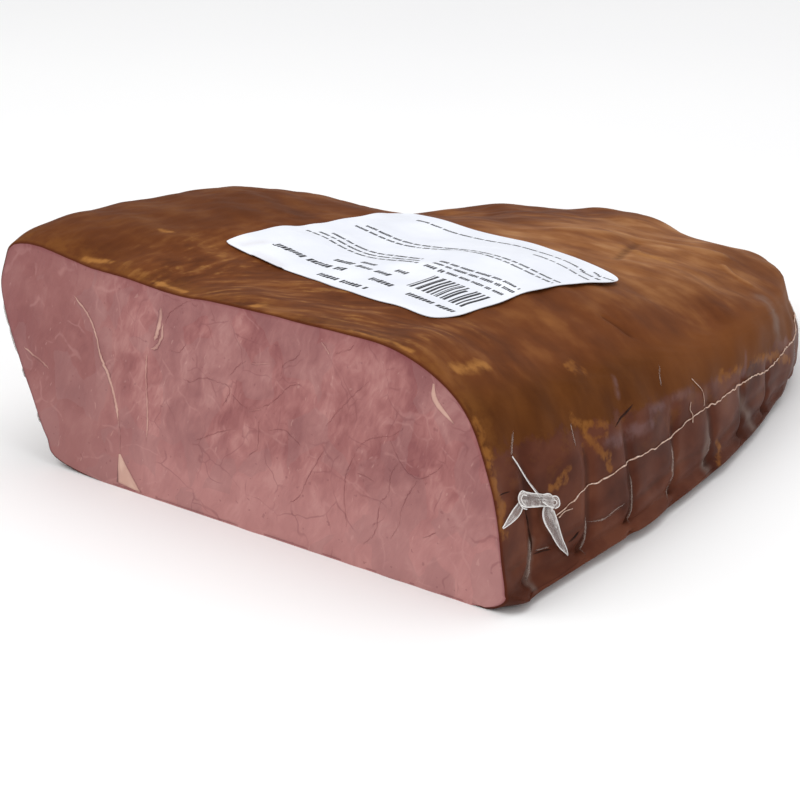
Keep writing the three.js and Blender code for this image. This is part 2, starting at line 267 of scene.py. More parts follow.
def line_distance(spots, line):
    """Distance of each spot in a plane from a line of straight stretches."""
    best = np.full(len(spots), np.inf)
    ends = np.asarray(line, float)
    for a, b in zip(ends[:-1], ends[1:]):
        along = b - a
        share = np.clip((spots - a) @ along / (along @ along), 0, 1)
        best = np.minimum(best, np.linalg.norm(spots - a - share[:, None] * along, axis=1))
    return best


def patches(spots, lines):
    """1 on the middle of the nearest line, falling to 0 at its reach: lines are (reach, points)."""
    most = np.zeros(len(spots))
    for reach, line in lines:
        most = np.maximum(most, 1 - line_distance(spots, line) / reach)
    return np.clip(most, 0, 1)


# Pieces

class Heap:
    """Points, faces and a value for each point of one piece, gathered part by part."""

    def __init__(self):
        self.points = []
        self.faces = []
        self.values = []

    def add(self, points, faces, values=None):
        start = sum(len(p) for p in self.points)
        self.points.append(np.asarray(points, float).reshape(-1, 3))
        self.faces += [tuple(start + i for i in face) for face in faces]
        self.values.append(np.zeros(len(self.points[-1])) if values is None else np.asarray(values).ravel())


def add_attribute(mesh, name, values):
    """Gives a mesh a number or a vector for each point, for its materials."""
    kind, field = ("FLOAT", "value") if values.ndim == 1 else ("FLOAT_VECTOR", "vector")
    mesh.attributes.new(name, kind, "POINT").data.foreach_set(field, values.ravel().astype(np.float32))


def piece(name, points, faces, materials, replaced=None, attributes=None):
    """A piece of the part: its mesh in the frame, its materials, what it rides on and what it stands for."""
    mesh = bpy.data.meshes.new(name)
    mesh.from_pydata(to_row(points).tolist(), [], [tuple(map(int, face)) for face in faces])
    mesh.polygons.foreach_set("use_smooth", [True] * len(mesh.polygons))
    for material in materials:
        mesh.materials.append(material)
    for attribute, values in (attributes or {}).items():
        add_attribute(mesh, attribute, values)
    thing = bpy.data.objects.new(name, mesh)
    bpy.context.scene.collection.objects.link(thing)
    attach(thing, "root")
    if replaced:
        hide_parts(replaced)
    return thing


def heap_piece(name, heap, material, replaced=None, attribute=None, tones=None):
    """A piece from a heap, with its faces turned outward. Tones give more values from its points."""
    points = np.vstack(heap.points)
    values = {attribute: np.concatenate(heap.values)} if attribute else {}
    values |= tones(points) if tones else {}
    thing = piece(name, points, heap.faces, [material], replaced, values)
    shape = bmesh.new()
    shape.from_mesh(thing.data)
    bmesh.ops.recalc_face_normals(shape, faces=shape.faces)
    shape.to_mesh(thing.data)
    shape.free()
    return thing


def ring_faces(stations, sides):
    """Faces of a closed skin over rings of points, with both ends shut."""
    faces = []
    for i in range(stations - 1):
        for j in range(sides):
            k = (j + 1) % sides
            faces.append((i * sides + j, i * sides + k, (i + 1) * sides + k, (i + 1) * sides + j))
    faces.append(tuple(range(sides)))
    faces.append(tuple(range((stations - 1) * sides, stations * sides)))
    return faces


def strip(heap, path, out, sections, values=None):
    """Adds a closed strip along a path: sections are offsets (across, out) for each place and side."""
    along = unit(np.gradient(path, axis=0))
    across = unit(np.cross(out, along))
    upright = np.cross(along, across)
    rings = path[:, None] + sections[..., :1] * across[:, None] + sections[..., 1:] * upright[:, None]
    heap.add(rings, ring_faces(*sections.shape[:2]), values)


def round_sections(radii, sides):
    """Sections of a round tube whose radius changes along it."""
    angles = np.linspace(0, 2 * np.pi, sides, endpoint=False)
    ring = np.stack([np.cos(angles), np.sin(angles)], axis=1)
    return np.asarray(radii, float)[:, None, None] * ring


# Materials

def srgb(red, green, blue):
    """A colour in the light's own numbers, from the screen's 0 to 255."""
    def channel(value):
        share = value / 255
        return share / 12.92 if share <= 0.04045 else ((share + 0.055) / 1.055) ** 2.4
    return (channel(red), channel(green), channel(blue), 1)


class Paint:
    """A material in the making: each method adds a node and gives what it puts out."""

    def __init__(self, name, shine):
        self.material = bpy.data.materials.new(name)
        self.material.use_nodes = True
        self.tree = self.material.node_tree
        self.shader = self.tree.nodes["Principled BSDF"]
        self.shader.inputs["Specular IOR Level"].default_value = shine
        self.coat = None

    def put(self, socket, value):
        if isinstance(value, bpy.types.NodeSocket):
            self.tree.links.new(value, socket)
        else:
            socket.default_value = value

    def node(self, kind, inputs=None, **settings):
        made = self.tree.nodes.new("ShaderNode" + kind)
        for name, value in settings.items():
            setattr(made, name, value)
        for socket, value in (inputs or {}).items():
            self.put(made.inputs[socket], value)
        return made

    def attribute(self, name, field="Fac"):
        return self.node("Attribute", attribute_name=name).outputs[field]

    def place(self):
        """Where the surface is, in millimetres of the frame."""
        return self.scaled(self.node("TexCoord").outputs["Object"], 1 / MM)

    def scaled(self, vector, scale):
        """A vector times a number, or times a number for each axis."""
        scale = tuple(np.broadcast_to(scale, 3).tolist())
        return self.node("VectorMath", {0: vector, 1: scale}, operation="MULTIPLY").outputs[0]

    def turned(self, vector, angle):
        """A vector turned about the Y axis, so that noise can be stretched on a slant over the cut face."""
        inputs = {"Vector": vector, "Angle": angle}
        return self.node("VectorRotate", inputs, rotation_type="Y_AXIS").outputs[0]

    def texture(self, kind, vector, sizes, inputs=None, **settings):
        """A texture whose blobs have one size, or sizes along the vector's three axes."""
        sockets = {"Vector": self.scaled(vector, 1 / np.array(sizes, float)), "Scale": 1.0}
        return self.node(kind, sockets | (inputs or {}), **settings)

    def noise(self, vector, sizes, detail=3.0, roughness=0.5):
        inputs = {"Detail": detail, "Roughness": roughness}
        return self.texture("TexNoise", vector, sizes, inputs).outputs["Fac"]

    def warped(self, vector, size, distance):
        """A vector pushed about by noise of a size, by up to half of a distance."""
        clouds = self.texture("TexNoise", vector, size).outputs["Color"]
        inputs = {0: vector, 1: self.scaled(clouds, distance)}
        return self.node("VectorMath", inputs, operation="ADD").outputs[0]

    def edges(self, vector, size):
        """Distance from the borders of random cells of a size."""
        made = self.texture("TexVoronoi", vector, size, feature="DISTANCE_TO_EDGE")
        return made.outputs["Distance"]

    def cells(self, vector, sizes, soft):
        """A random value for each of many cells of these sizes, with soft borders."""
        made = self.texture("TexVoronoi", vector, sizes, {"Smoothness": soft}, feature="SMOOTH_F1")
        return self.node("SeparateColor", {0: made.outputs["Color"]}).outputs[0]

    def math(self, operation, *values):
        """The first value joined with each of the others in turn."""
        total = values[0]
        for value in values[1:]:
            total = self.node("Math", {0: total, 1: value}, operation=operation).outputs[0]
        return total

    def times(self, *factors):
        return self.math("MULTIPLY", *factors)

    def blend(self, *parts):
        """A sum of values, each with its weight."""
        return self.math("ADD", *(self.times(value, weight) for value, weight in parts))

    def between(self, share, first, second):
        """One value where a share is 0, and another where it is 1."""
        return self.blend((second, share), (first, self.math("SUBTRACT", 1, share)))

    def step(self, value, none, full):
        """A smooth step from 0 at one value to 1 at another, in either direction."""
        inputs = {"Value": value, "From Min": none, "From Max": full}
        return self.node("MapRange", inputs, interpolation_type="SMOOTHSTEP").outputs["Result"]

    def spread(self, value, first, last):
        """A 0 to 1 value set out evenly between two others."""
        inputs = {"Value": value, "To Min": first, "To Max": last}
        return self.node("MapRange", inputs).outputs["Result"]

    def ramp(self, value, *stops):
        """Colours set out along a value: stops are (value, colour)."""
        made = self.node("ValToRGB", {0: value})
        places = made.color_ramp.elements
        while len(places) < len(stops):
            places.new(1.0)
        for spot, (position, colour) in zip(places, stops):
            spot.position = position
            spot.color = srgb(*colour)
        return made.outputs["Color"]

    def mix(self, share, first, second):
        """One colour changing to another: colours are 0 to 255, or what a node puts out."""
        first, second = (srgb(*c) if isinstance(c, tuple) else c for c in (first, second))
        return self.node("Mix", {0: share, 6: first, 7: second}, data_type="RGBA").outputs[2]

    def lay(self, colour, strength, *shares):
        """Lays a colour over the coat so far, by a strength and by shares from 0 to 1."""
        self.coat = self.mix(self.times(*shares, strength), self.coat, colour)

    def finish(self, roughness, relief=None, depth=0):
        """Gives the shader the coat, a roughness and a 0 to 1 relief that is so many millimetres deep."""
        sockets = self.shader.inputs
        self.put(sockets["Base Color"], self.coat)
        self.put(sockets["Roughness"], roughness)
        if depth:
            bump = self.node("Bump", {"Height": relief, "Distance": depth * MM})
            self.put(sockets["Normal"], bump.outputs["Normal"])
        return self.material


def skin_material():
    """Smoked skin with golden flecks above, and dark red-brown under film in the netted zone; painted shade
    in grooves and creases, painted glints and sheen.
    """
    paint = Paint("smoked_skin", 0.05)
    place = paint.place()
    flow = paint.attribute("flow", "Vector")
    above = paint.attribute("above_net")
    front = paint.attribute("front")
    from_cut = paint.attribute("from_cut")
    wander = paint.noise(place, 8, detail=5, roughness=0.6)
    grit = paint.noise(place, 4, detail=4, roughness=0.6)
    blotches = paint.noise(place, 20, detail=4)

    narrow = paint.noise(flow, (17, 3.4, 8), detail=2)
    crosswise = paint.between(front, paint.noise(flow, (24, 7, 12)), narrow)
    along = paint.noise(place, (3.4, 12, 8), detail=2)
    streaks = paint.between(paint.attribute("lengthwise"), crosswise, along)
    drawn = paint.spread(paint.attribute("streaky"), 0.1, 0.8)
    tone = paint.blend((blotches, 0.7), (0.15, 1), (paint.math("SUBTRACT", streaks, 0.5), drawn))
    paint.coat = paint.ramp(tone, (0.3, (86, 44, 19)), (0.5, (105, 57, 26)), (0.7, (132, 82, 43)))
    paint.lay((84, 43, 18), 0.5, paint.attribute("lobe"))
    drips = paint.noise(place, (11, 11, 70))
    shoulder = paint.ramp(drips, (0.3, (80, 42, 15)), (0.5, (90, 49, 18)), (0.7, (101, 57, 23)))
    higher = paint.spread(paint.step(above, 0, 22), 0.25, 0.75)
    shoulder = paint.mix(paint.times(paint.attribute("far"), higher), shoulder, (124, 72, 36))
    paint.lay(shoulder, 1, paint.attribute("shoulder"))
    # Painted sheen: paler, greyer skin on the far top, as where light grazes it
    pale = paint.ramp(tone, (0.35, (130, 79, 43)), (0.5, (150, 98, 57)), (0.68, (176, 127, 84)))
    paint.lay(pale, 0.75, paint.attribute("pale"))
    patchy = paint.blend((streaks, 0.6), (grit, 0.4))
    paint.lay((152, 105, 56), 0.55, paint.step(patchy, 0.54, 0.68), front)
    paint.lay((126, 78, 34), 0.5, paint.step(from_cut, 16, 2), paint.step(wander, 0.35, 0.65))
    gold = paint.times(paint.attribute("gold"), paint.spread(patchy, -1, 3.2))
    paint.lay((176, 121, 62), 0.6, paint.step(gold, 0.35, 1.2))

    net = paint.step(paint.blend((above, 1), (paint.math("SUBTRACT", wander, 0.5), 18)), 2, -2)
    panels = paint.noise(place, (22, 22, 17))
    netted = paint.ramp(panels, (0.34, (71, 36, 25)), (0.5, (87, 46, 32)), (0.66, (103, 59, 42)))
    # Painted shade in the net's grooves, darkening the netted colour
    dark = paint.step(paint.attribute("groove"), 0.45, 0.95)
    paint.lay(paint.mix(paint.times(dark, 0.55), netted, (58, 34, 27)), 1, net)
    spots = paint.step(paint.noise(place, (13, 13, 8), detail=5, roughness=0.65), 0.52, 0.68)
    paint.lay((108, 64, 30), 0.5, paint.step(above, -22, -4), paint.step(above, 8, 0), spots)

    gilding = paint.ramp(wander, (0.35, (112, 64, 26)), (0.65, (152, 98, 45)))
    for name, clouds, span, none, strength, colour in (
        ("wall_gold", grit, (-1, 3), 0.3, 0.6, gilding),
        # Painted glints: purple-grey reflections of the lamps on the film
        ("glint", wander, (-0.5, 2.2), 0.2, 0.4, (122, 96, 97)),
        # The film's milky haze, with a painted grey sheen of the film at the far end
        ("haze", wander, (0.2, 1.4), 0.15, 0.55, (132, 116, 108)),
    ):
        cloudy = paint.times(paint.attribute(name), paint.spread(clouds, *span))
        paint.lay(colour, strength, paint.step(cloudy, none, 1))
    paint.lay((170, 122, 80), 0.5, paint.step(paint.attribute("ridge"), 0.2, 1))
    # Painted shade in the skin's creases
    paint.lay((66, 34, 18), 0.5, paint.step(paint.attribute("crease"), 0.2, 1))
    paint.lay((80, 33, 20), 0.8, paint.step(from_cut, 0.7, 0.1))
    return paint.finish(paint.spread(net, 0.6, 0.42), streaks, 0.1)


def cut_material():
    """Moist pink meat in mottled bundles, with pale fat lines and dark hairlines."""
    paint = Paint("cut_meat", 0.2)
    place = paint.place()
    slanted = paint.turned(paint.warped(place, 15, 9), math.radians(-25))
    bundles = paint.cells(slanted, (10, 10, 14), 0.4)
    clouds = paint.noise(slanted, (6, 6, 10), detail=1.5)
    broad = paint.noise(place, 34, detail=2)
    grain = paint.noise(slanted, (1.3, 1.3, 5))
    tone = paint.blend((bundles, 0.17), (clouds, 0.34), (broad, 0.28), (grain, 0.21))
    paint.coat = paint.ramp(tone, (0.36, (142, 85, 85)), (0.45, (156, 99, 97)), (0.53, (168, 111, 108)),
                            (0.62, (183, 130, 125)))
    paint.lay((195, 142, 138), 0.55, paint.attribute("low"))
    paint.lay((139, 87, 84), 0.6, paint.attribute("left"))
    mauve = paint.cells(slanted, (13, 13, 19), 0.12)
    paint.lay((157, 115, 113), 0.3, paint.step(mauve, 0.5, 0.58))

    bright = paint.step(paint.edges(paint.warped(place, 17, 12), 14), 0.05, 0.005)
    broken = paint.step(paint.noise(place, 9, detail=2), 0.5, 0.62)
    paint.lay((196, 146, 141), 0.25, bright, broken)
    seams = paint.step(paint.edges(paint.warped(place, 13, 10), 19), 0.02, 0.004)
    patchy = paint.step(paint.noise(place, 16, detail=2), 0.46, 0.6)
    paint.lay((130, 76, 78), 0.4, seams, patchy, paint.attribute("cracked"))
    specks = paint.noise(place, 2.2, detail=1)
    paint.lay((122, 70, 72), 0.35, paint.step(specks, 0.735, 0.76))
    flecks = paint.noise(slanted, (1.6, 1.6, 5), detail=1)
    paint.lay((204, 160, 152), 0.3, paint.step(flecks, 0.72, 0.78))

    fat = paint.times(paint.attribute("fat"), paint.spread(clouds, 0.3, 1.5))
    paint.lay((211, 171, 154), 0.85, paint.step(fat, 0.2, 0.9))
    paint.lay((228, 197, 176), 0.6, paint.step(fat, 1, 1.6))
    breaks = paint.spread(paint.noise(place, 4, detail=2), -0.5, 2)
    paint.lay((122, 66, 68), 0.6, paint.step(paint.times(paint.attribute("crack"), breaks), 0.1, 0.9))
    paint.lay((118, 58, 64), 0.6, paint.attribute("rim"))
    return paint.finish(paint.spread(grain, 0.4, 0.6), paint.blend((clouds, 0.5), (grain, 0.5)), 0.35)


def paper_material():
    """White coated paper, faintly clouded, with painted shade in the dents of its folds."""
    paint = Paint("label_paper", 0.4)
    place = paint.place()
    fibres = paint.noise(place, 0.7, detail=2)
    paint.coat = paint.ramp(paint.noise(place, 18), (0.3, (226, 229, 238)), (0.7, (236, 239, 247)))
    # Painted shade in the dents of the label's folds
    paint.lay((214, 212, 216), 0.6, paint.attribute("fold"))
    return paint.finish(paint.spread(fibres, 0.45, 0.65), fibres, 0.04)


def clouded(name, shine, size, detail, stops, roughness, depth=0):
    """A material whose colours, roughness and relief follow noise of one size."""
    paint = Paint(name, shine)
    clouds = paint.noise(paint.place(), size, detail)
    paint.coat = paint.ramp(clouds, *stops)
    return paint.finish(paint.spread(clouds, *roughness), clouds, depth)


def slit_material():
    """Dark shade in slits of the skin."""
    return clouded("dark_slit", 0.05, 3, 2, ((0.35, (38, 21, 15)), (0.65, (58, 34, 25))), (0.6, 0.8))


def ink_material():
    """Grey-black print, worn in places."""
    stops = ((0.35, (34, 34, 38)), (0.62, (62, 63, 68)), (0.78, (128, 130, 136)))
    return clouded("label_ink", 0.3, 1.6, 3, stops, (0.5, 0.7))


def string_material():
    """Pale thread with pinkish shade in its twist."""
    stops = ((0.3, (170, 128, 108)), (0.5, (207, 175, 156)), (0.7, (232, 210, 195)))
    return clouded("pale_string", 0.3, 1.1, 3, stops, (0.5, 0.75), 0.2)


def floor_material():
    """Pale matt floor."""
    return clouded("pale_floor", 0.2, 400, 2, ((0.3, (247, 247, 248)), (0.7, (250, 250, 250))), (0.75, 0.85))


def film_material(name, least, most, colour, milk_colour=(246, 244, 242), shine=0.6):
    """Clear film that turns milky where it is folded: its least and most cover, and its colours."""
    paint = Paint(name, shine)
    folds = paint.noise(paint.place(), (2.4, 2.4, 5), detail=4, roughness=0.6)
    milk = paint.blend((paint.attribute("milk"), 1), (paint.step(folds, 0.5, 0.7), 0.35))
    paint.coat = paint.mix(paint.step(milk, 0, 1), colour, milk_colour)
    paint.put(paint.shader.inputs["Alpha"], paint.spread(milk, least, most))
    return paint.finish(paint.spread(folds, 0.14, 0.36), folds, 0.3)


# The meat

def half_box(cells):
    """A grid round the half box: its corners in whole steps, its faces, and which of them are the cut."""
    quads = []
    is_cut = []
    for axis in range(3):
        a, b = (axis + 1) % 3, (axis + 2) % 3
        i, j = np.meshgrid(np.arange(cells[a]), np.arange(cells[b]), indexing="ij")
        for side in (0, cells[axis]):
            corners = np.empty((i.size, 4, 3), int)
            for corner, (more_a, more_b) in enumerate(((0, 0), (1, 0), (1, 1), (0, 1))):
                corners[:, corner, axis] = side
                corners[:, corner, a] = i.ravel() + more_a
                corners[:, corner, b] = j.ravel() + more_b
            quads.append(corners if side else corners[:, ::-1])
            is_cut += [axis == 1 and side == 0] * i.size
    size = tuple(count + 1 for count in cells)
    keys = np.ravel_multi_index(tuple(np.concatenate(quads).reshape(-1, 3).T), size)
    kept, faces = np.unique(keys, return_inverse=True)
    return np.stack(np.unravel_index(kept, size), axis=1), faces.reshape(-1, 4), np.array(is_cut)


def rounded(place):
    """Place in the meat, as shares of its half width, length and height, of a place in the half box."""
    across, along, up = np.abs(place).T
    wall = np.where(place[:, 2] >= 0, UPPER_EXPONENT, LOWER_EXPONENT)
    plan = (across**PLAN_EXPONENT + along**PLAN_EXPONENT) ** (1 / PLAN_EXPONENT)
    size = (plan**wall + up**wall) ** (1 / wall)
    return place * (np.abs(place).max(axis=1) / np.maximum(size, TINY))[:, None]


def swell_rise(x, y):
    """Rise of the skin at a place in plan, from all the swells and mounds."""
    rise = sum(height * bell(y, at, spread) for height, at, spread in SWELLS) * smooth(*SWELL_X, x)
    rise = rise + LIP * smooth(*LIP_X, x) * bell(y, 0, LIP_LENGTH)
    return rise + sum(mound(x, y, *row) for row in MOUNDS)


def pressed(share_x, y, z):
    """Shift in X of the walls where they are pressed in or stand out."""
    foot = np.maximum(smooth(*RIGHT_FOOT_HEIGHTS, z), CORNER_PRESS * smooth(RIGHT_CORNER, 0, y))
    right = RIGHT_FLAT * smooth(*RIGHT_FLAT_HEIGHTS, z) * foot * smooth(*RIGHT_SIDE, share_x)
    left = LEFT_FOOT * smooth(*LEFT_FOOT_HEIGHTS, z) * smooth(*LEFT_SIDE, share_x)
    shift = -right - left
    for rise, height, spread, shares, lengths in WALL_BELLS:
        shift = shift + rise * bell(z, height, spread) * smooth(*shares, share_x) * smooth(*lengths, y)
    return shift


def loaf_points(place):
    """Points of the smooth loaf for places in the half box."""
    share_x, share_y, share_z = rounded(place).T
    x = share_x * CUT_WIDTH / 2
    y = share_y * LENGTH
    fall = 1 - END_FALL * share_y**END_FALL_POWER - SIDE_FALL * share_x
    upper = (HEIGHT - WAIST) * fall + swell_rise(x, y)
    square = CORNER_CUT * smooth(*RIGHT_SIDE, share_x) * smooth(2 * RIGHT_CORNER, 0, y)
    rise = np.where(share_z > 0, share_z * upper, share_z * WAIST * (BASE_CUT + square))
    rise = np.maximum(rise, -WAIST)
    z = WAIST + rise
    return np.stack([x - LEAN * rise - SKEW * y + pressed(share_x, y, z), y, z], axis=1)


def point_normals(points, faces):
    """Outward directions at the points of four-sided faces, and none at points without a face."""
    a, b, c, d = (points[faces[:, corner]] for corner in range(4))
    total = np.zeros_like(points)
    for corner in range(4):
        np.add.at(total, faces[:, corner], np.cross(c - a, d - b))
    return unit(total)


def above_net(points):
    """Height above the netted zone's upper edge."""
    return points[:, 2] - NET_EDGE + NET_EDGE_FALL * points[:, 1]


def net_marks(points, normals, place):
    """How deep the net presses in, and a value that is 1 in its grooves and 0 away from them."""
    _, y, z = points.T
    rim = np.maximum(np.maximum(np.abs(place[:, 0]), place[:, 1]), TINY)
    across, along = place[:, 0] / rim, place[:, 1] / rim
    on_wall = (y + GROOVE_LEAN * smooth(*GROOVE_LEAN_HEIGHTS, z) - FIRST_GROOVE) / CUSHION_LENGTH
    on_end = (across + 1) / 2 * CUSHIONS_ALONG_END + 0.5
    cushion = np.where(np.abs(across) >= along, on_wall, on_end)
    cushion = cushion + ripples(points, GROOVE_WANDER)
    off = np.abs(cushion - np.round(cushion))
    level = z - ROUND_GROOVE_HEIGHT - ripples(points, ROUND_GROOVE_WANDER)
    groove = np.maximum(bell(off, 0, GROOVE_WIDTH), ROUND_GROOVE * bell(level, 0, ROUND_GROOVE_WIDTH))
    deep = GROOVE_DEPTH * (1 + FOOT_DEEPER * smooth(*FOOT_HEIGHTS, z))
    deep = deep * (1 - (1 - END_GROOVES) * smooth(*END_START, along / np.maximum(np.abs(across), TINY)))
    upright = smooth(*UPRIGHT, np.abs(normals[:, 2]))
    fade = upright * smooth(*NET_START, y) * smooth(*NET_FADE, above_net(points))
    return (deep * groove + CUSHION_ROUND * (1 - 2 * off) ** 2) * fade, groove * fade


# Zones of the meat, each a product of smooth steps: axis, where it is none, where it is full
ZONES = {
    "front": ((Y, 75, 40), (X, -85, -50), (X, 85, 60)),
    "lengthwise": ((X, -15, -50), (Y, 150, 110)),
    "far": ((Y, 90, 150),),
    "lobe": ((X, -55, -80), (Y, 160, 100)),
    # Painted sheen: the far top is paler, as where light grazes it
    "pale": ((Y, 120, 195), (X, -45, -15), (X, 85, 35)),
    "flank": ((Y, 235, 265), (X, 15, 45)),
    "near_streaks": ((Y, 70, 35), (X, -80, -50)),
    "far_streaks": ((Y, 150, 200),),
    "low": ((Z, 44, 6),),
    "left": ((X, -45, -90),),
    "cracked": ((X, -72, -45),),
}
# The same for ways that the skin faces, by its normals
ZONES |= {
    "facing_right": ((X, 0.15, 0.45),),
    "shoulder": ((Z, 0.95, 0.65), (X, 0.05, 0.4)),
    "over_shoulder": ((Z, 0.85, 0.4), (X, 0, 0.4)),
    "off_base": ((Z, -0.9, -0.4),),
    "up": ((Z, 0.2, 0.5),),
    "more_up": ((Z, 0.3, 0.6),),
    "most_up": ((Z, 0.6, 0.9),),
}
STREAKS_LEAST, FAR_STREAKS = 0.35, 0.4  # shares of the full streaks
FLANK_FADE = 0.7  # share of the pale zone, a painted sheen, that is lost on its flank


def zone(values, name):
    """How far points or normals are inside a zone, from 0 to 1."""
    return np.prod([smooth(none, full, values[:, axis]) for axis, none, full in ZONES[name]], axis=0)


def flow_of(points, normals):
    """Millimetres along and across the skin's streaks, which run on down over the +X shoulder."""
    x, y, z = points.T
    ways = np.linspace(-CUT_WIDTH, CUT_WIDTH, STREAK_STEPS)
    steps = np.hypot(1, STREAK_SLOPE + 2 * STREAK_BEND * ways) * (ways[1] - ways[0])
    along = np.interp(x, ways, np.cumsum(steps)) + STREAK_SLANT * y
    across = STREAK_SPACING * (y - STREAK_SLOPE * x - STREAK_BEND * x**2)
    return np.stack([along, across + zone(normals, "over_shoulder") * (z - HEIGHT), z], axis=1)


def streakiness(points):
    """How strongly the skin is streaked: most between the label and the cut, and again far from it."""
    streaks = np.maximum(zone(points, "near_streaks"), FAR_STREAKS * zone(points, "far_streaks"))
    return STREAKS_LEAST + (1 - STREAKS_LEAST) * streaks


def skin_relief(points, normals, flow):
    """Millimetres that the skin stands out from the smooth loaf, apart from the net's marks."""
    wrinkles = ripples(flow * WRINKLE_STRETCH, WRINKLES) * smooth(*WRINKLE_HEIGHTS, above_net(points))
    start = RELIEF_AT_CUT + (1 - RELIEF_AT_CUT) * smooth(0, RELIEF_START, points[:, 1])
    return (ripples(points, LUMPS) + wrinkles) * start * zone(normals, "off_base")


# Patches of colour, as (reach, line): on the +X wall by distance from the cut and height, on the skin in plan
WALL_GOLD = (
    (3.4, ((53, 54), (58, 48.5), (59, 45.5), (61, 41), (65, 37), (68, 31))),
    (2.6, ((58.5, 49.5), (65.5, 48), (70.5, 46))),
    (2.2, ((55, 44), (60, 43.5), (69, 43))),
    (2.2, ((65, 37), (67.5, 38), (69.5, 35.5))),
    (4, ((42, 39), (40, 36.5), (32.5, 35.5))),
    (5, ((1.5, 66), (2, 55), (1, 46), (2, 38), (2.5, 30))),
    (4, ((1, 39), (6, 37), (3, 34))),
    (3.4, ((64, 65.5), (70, 65.5), (73, 64))),
    (5, ((160, 36), (173, 34), (182, 33))),
    (4, ((196, 32), (223, 24.5), (240, 17.5))),
    (3, ((156.5, 12), (157, 8), (151, 5.5))),
)
# Painted glints: purple-grey reflections of the lamps on the film
WALL_GLINTS = (
    (3.4, ((86, 57), (84, 53))),
    (5, ((68, 41), (76, 39), (88.5, 38.5), (100, 38))),
    (4, ((101.5, 42.5), (113.5, 40.5))),
    (4, ((121.5, 41), (134, 39.5))),
    (3.4, ((188.5, 37.5), (187, 29.5))),
)
# Milky haze of the film by the grooves, and a painted grey sheen of the film at the far end (the first row)
WALL_HAZE_AND_SHEEN = (
    (10, ((233.5, 43.5), (230, 37), (229, 31))),
    (3.4, ((20, 20), (19, 14), (15.5, 5))),
    (6, ((148, 22), (143, 6))),
    (6, ((182, 23.5), (193.5, 5))),
)
SKIN_GOLD = (
    (6, ((83, 12), (84, 18), (84, 25))),
    (13, ((19.5, 220.5), (25, 220.5), (29.5, 223.5))),
    (4, ((-77, 37.5), (-74.5, 39))),
    (3.5, ((-83, 2), (-74, 5.5))),
    (3.5, ((-48, 3), (-42, 3), (-33, 3))),
    (3.5, ((0, 3), (1, 7))),
    (3.5, ((44, 3), (70, 3))),
)
# Slits in the +X wall: width, then points by distance from the cut and height
WALL_SLITS = (
    (0.9, ((91, 47.5), (84, 45.7), (75.5, 44))),
    (0.9, ((40.5, 12.6), (44.5, 13.1), (48.5, 13.9))),
    (1.3, ((18, 32), (19.5, 26), (20.7, 19), (19.5, 14))),
    (0.6, ((21, 14.6), (26, 14.2), (30.5, 13.4))),
    (0.5, ((3, 42), (7, 41.5), (10, 41))),
)
SLIT_STEPS, SLIT_TAPER = 24, (0.7, 0.1)
SLIT_SECTION = ((-0.5, 0, 0.5, 0), (0, 0.06, 0, -0.4))  # shares of the width, millimetres out of the wall
# Creases and pale ridges of the skin in plan, as (reach, line); the creases also get painted shade
SKIN_CREASES = (
    (3.5, ((25.5, 196), (18.5, 213.5), (9, 237))),
    (2.2, ((74.5, 114), (80, 116), (85, 117))),
)
SKIN_RIDGES = (
    (6, ((-11, 208), (0, 232), (8, 252), (34, 263))),
    (2.5, ((43, 251.5), (53, 245), (61, 243.5))),
)
CREASE_DEPTH = 1.0
RIDGE_HEIGHT = 1.0


def crease_marks(points, normals):
    """How near each point is to a crease and to a ridge, from 0 to 1."""
    up = zone(normals, "up")
    plan = points[:, :2]
    return patches(plan, SKIN_CREASES) * up, patches(plan, SKIN_RIDGES) * up


def skin_tones(points, normals, groove, flow):
    """Values for the skin's material."""
    tones = {name: zone(points, name) for name in ("front", "lengthwise", "far", "lobe", "pale")}
    tones["pale"] = tones["pale"] * (1 - FLANK_FADE * zone(points, "flank"))
    for name, lines in (("wall_gold", WALL_GOLD), ("glint", WALL_GLINTS), ("haze", WALL_HAZE_AND_SHEEN)):
        tones[name] = patches(points[:, 1:], lines) * zone(normals, "facing_right")
    return tones | {
        "flow": flow,
        "above_net": above_net(points),
        "groove": groove,
        "from_cut": points[:, 1],
        "streaky": streakiness(points) * zone(normals, "most_up"),
        "shoulder": zone(normals, "shoulder"),
        "gold": patches(points[:, :2], SKIN_GOLD) * zone(normals, "more_up"),
    }


def cut_tones(points):
    """Values for the cut face's material."""
    return {name: zone(points, name) for name in ("low", "left", "cracked")}


def rim_shade(reach, height):
    """How dark the cut face is along its edge, which is wider above."""
    upper = UPPER_RIM * smooth(*UPPER_RIM_REACH, reach) * smooth(*UPPER_RIM_HEIGHTS, height)
    return np.maximum(smooth(*RIM_REACH, reach), upper)


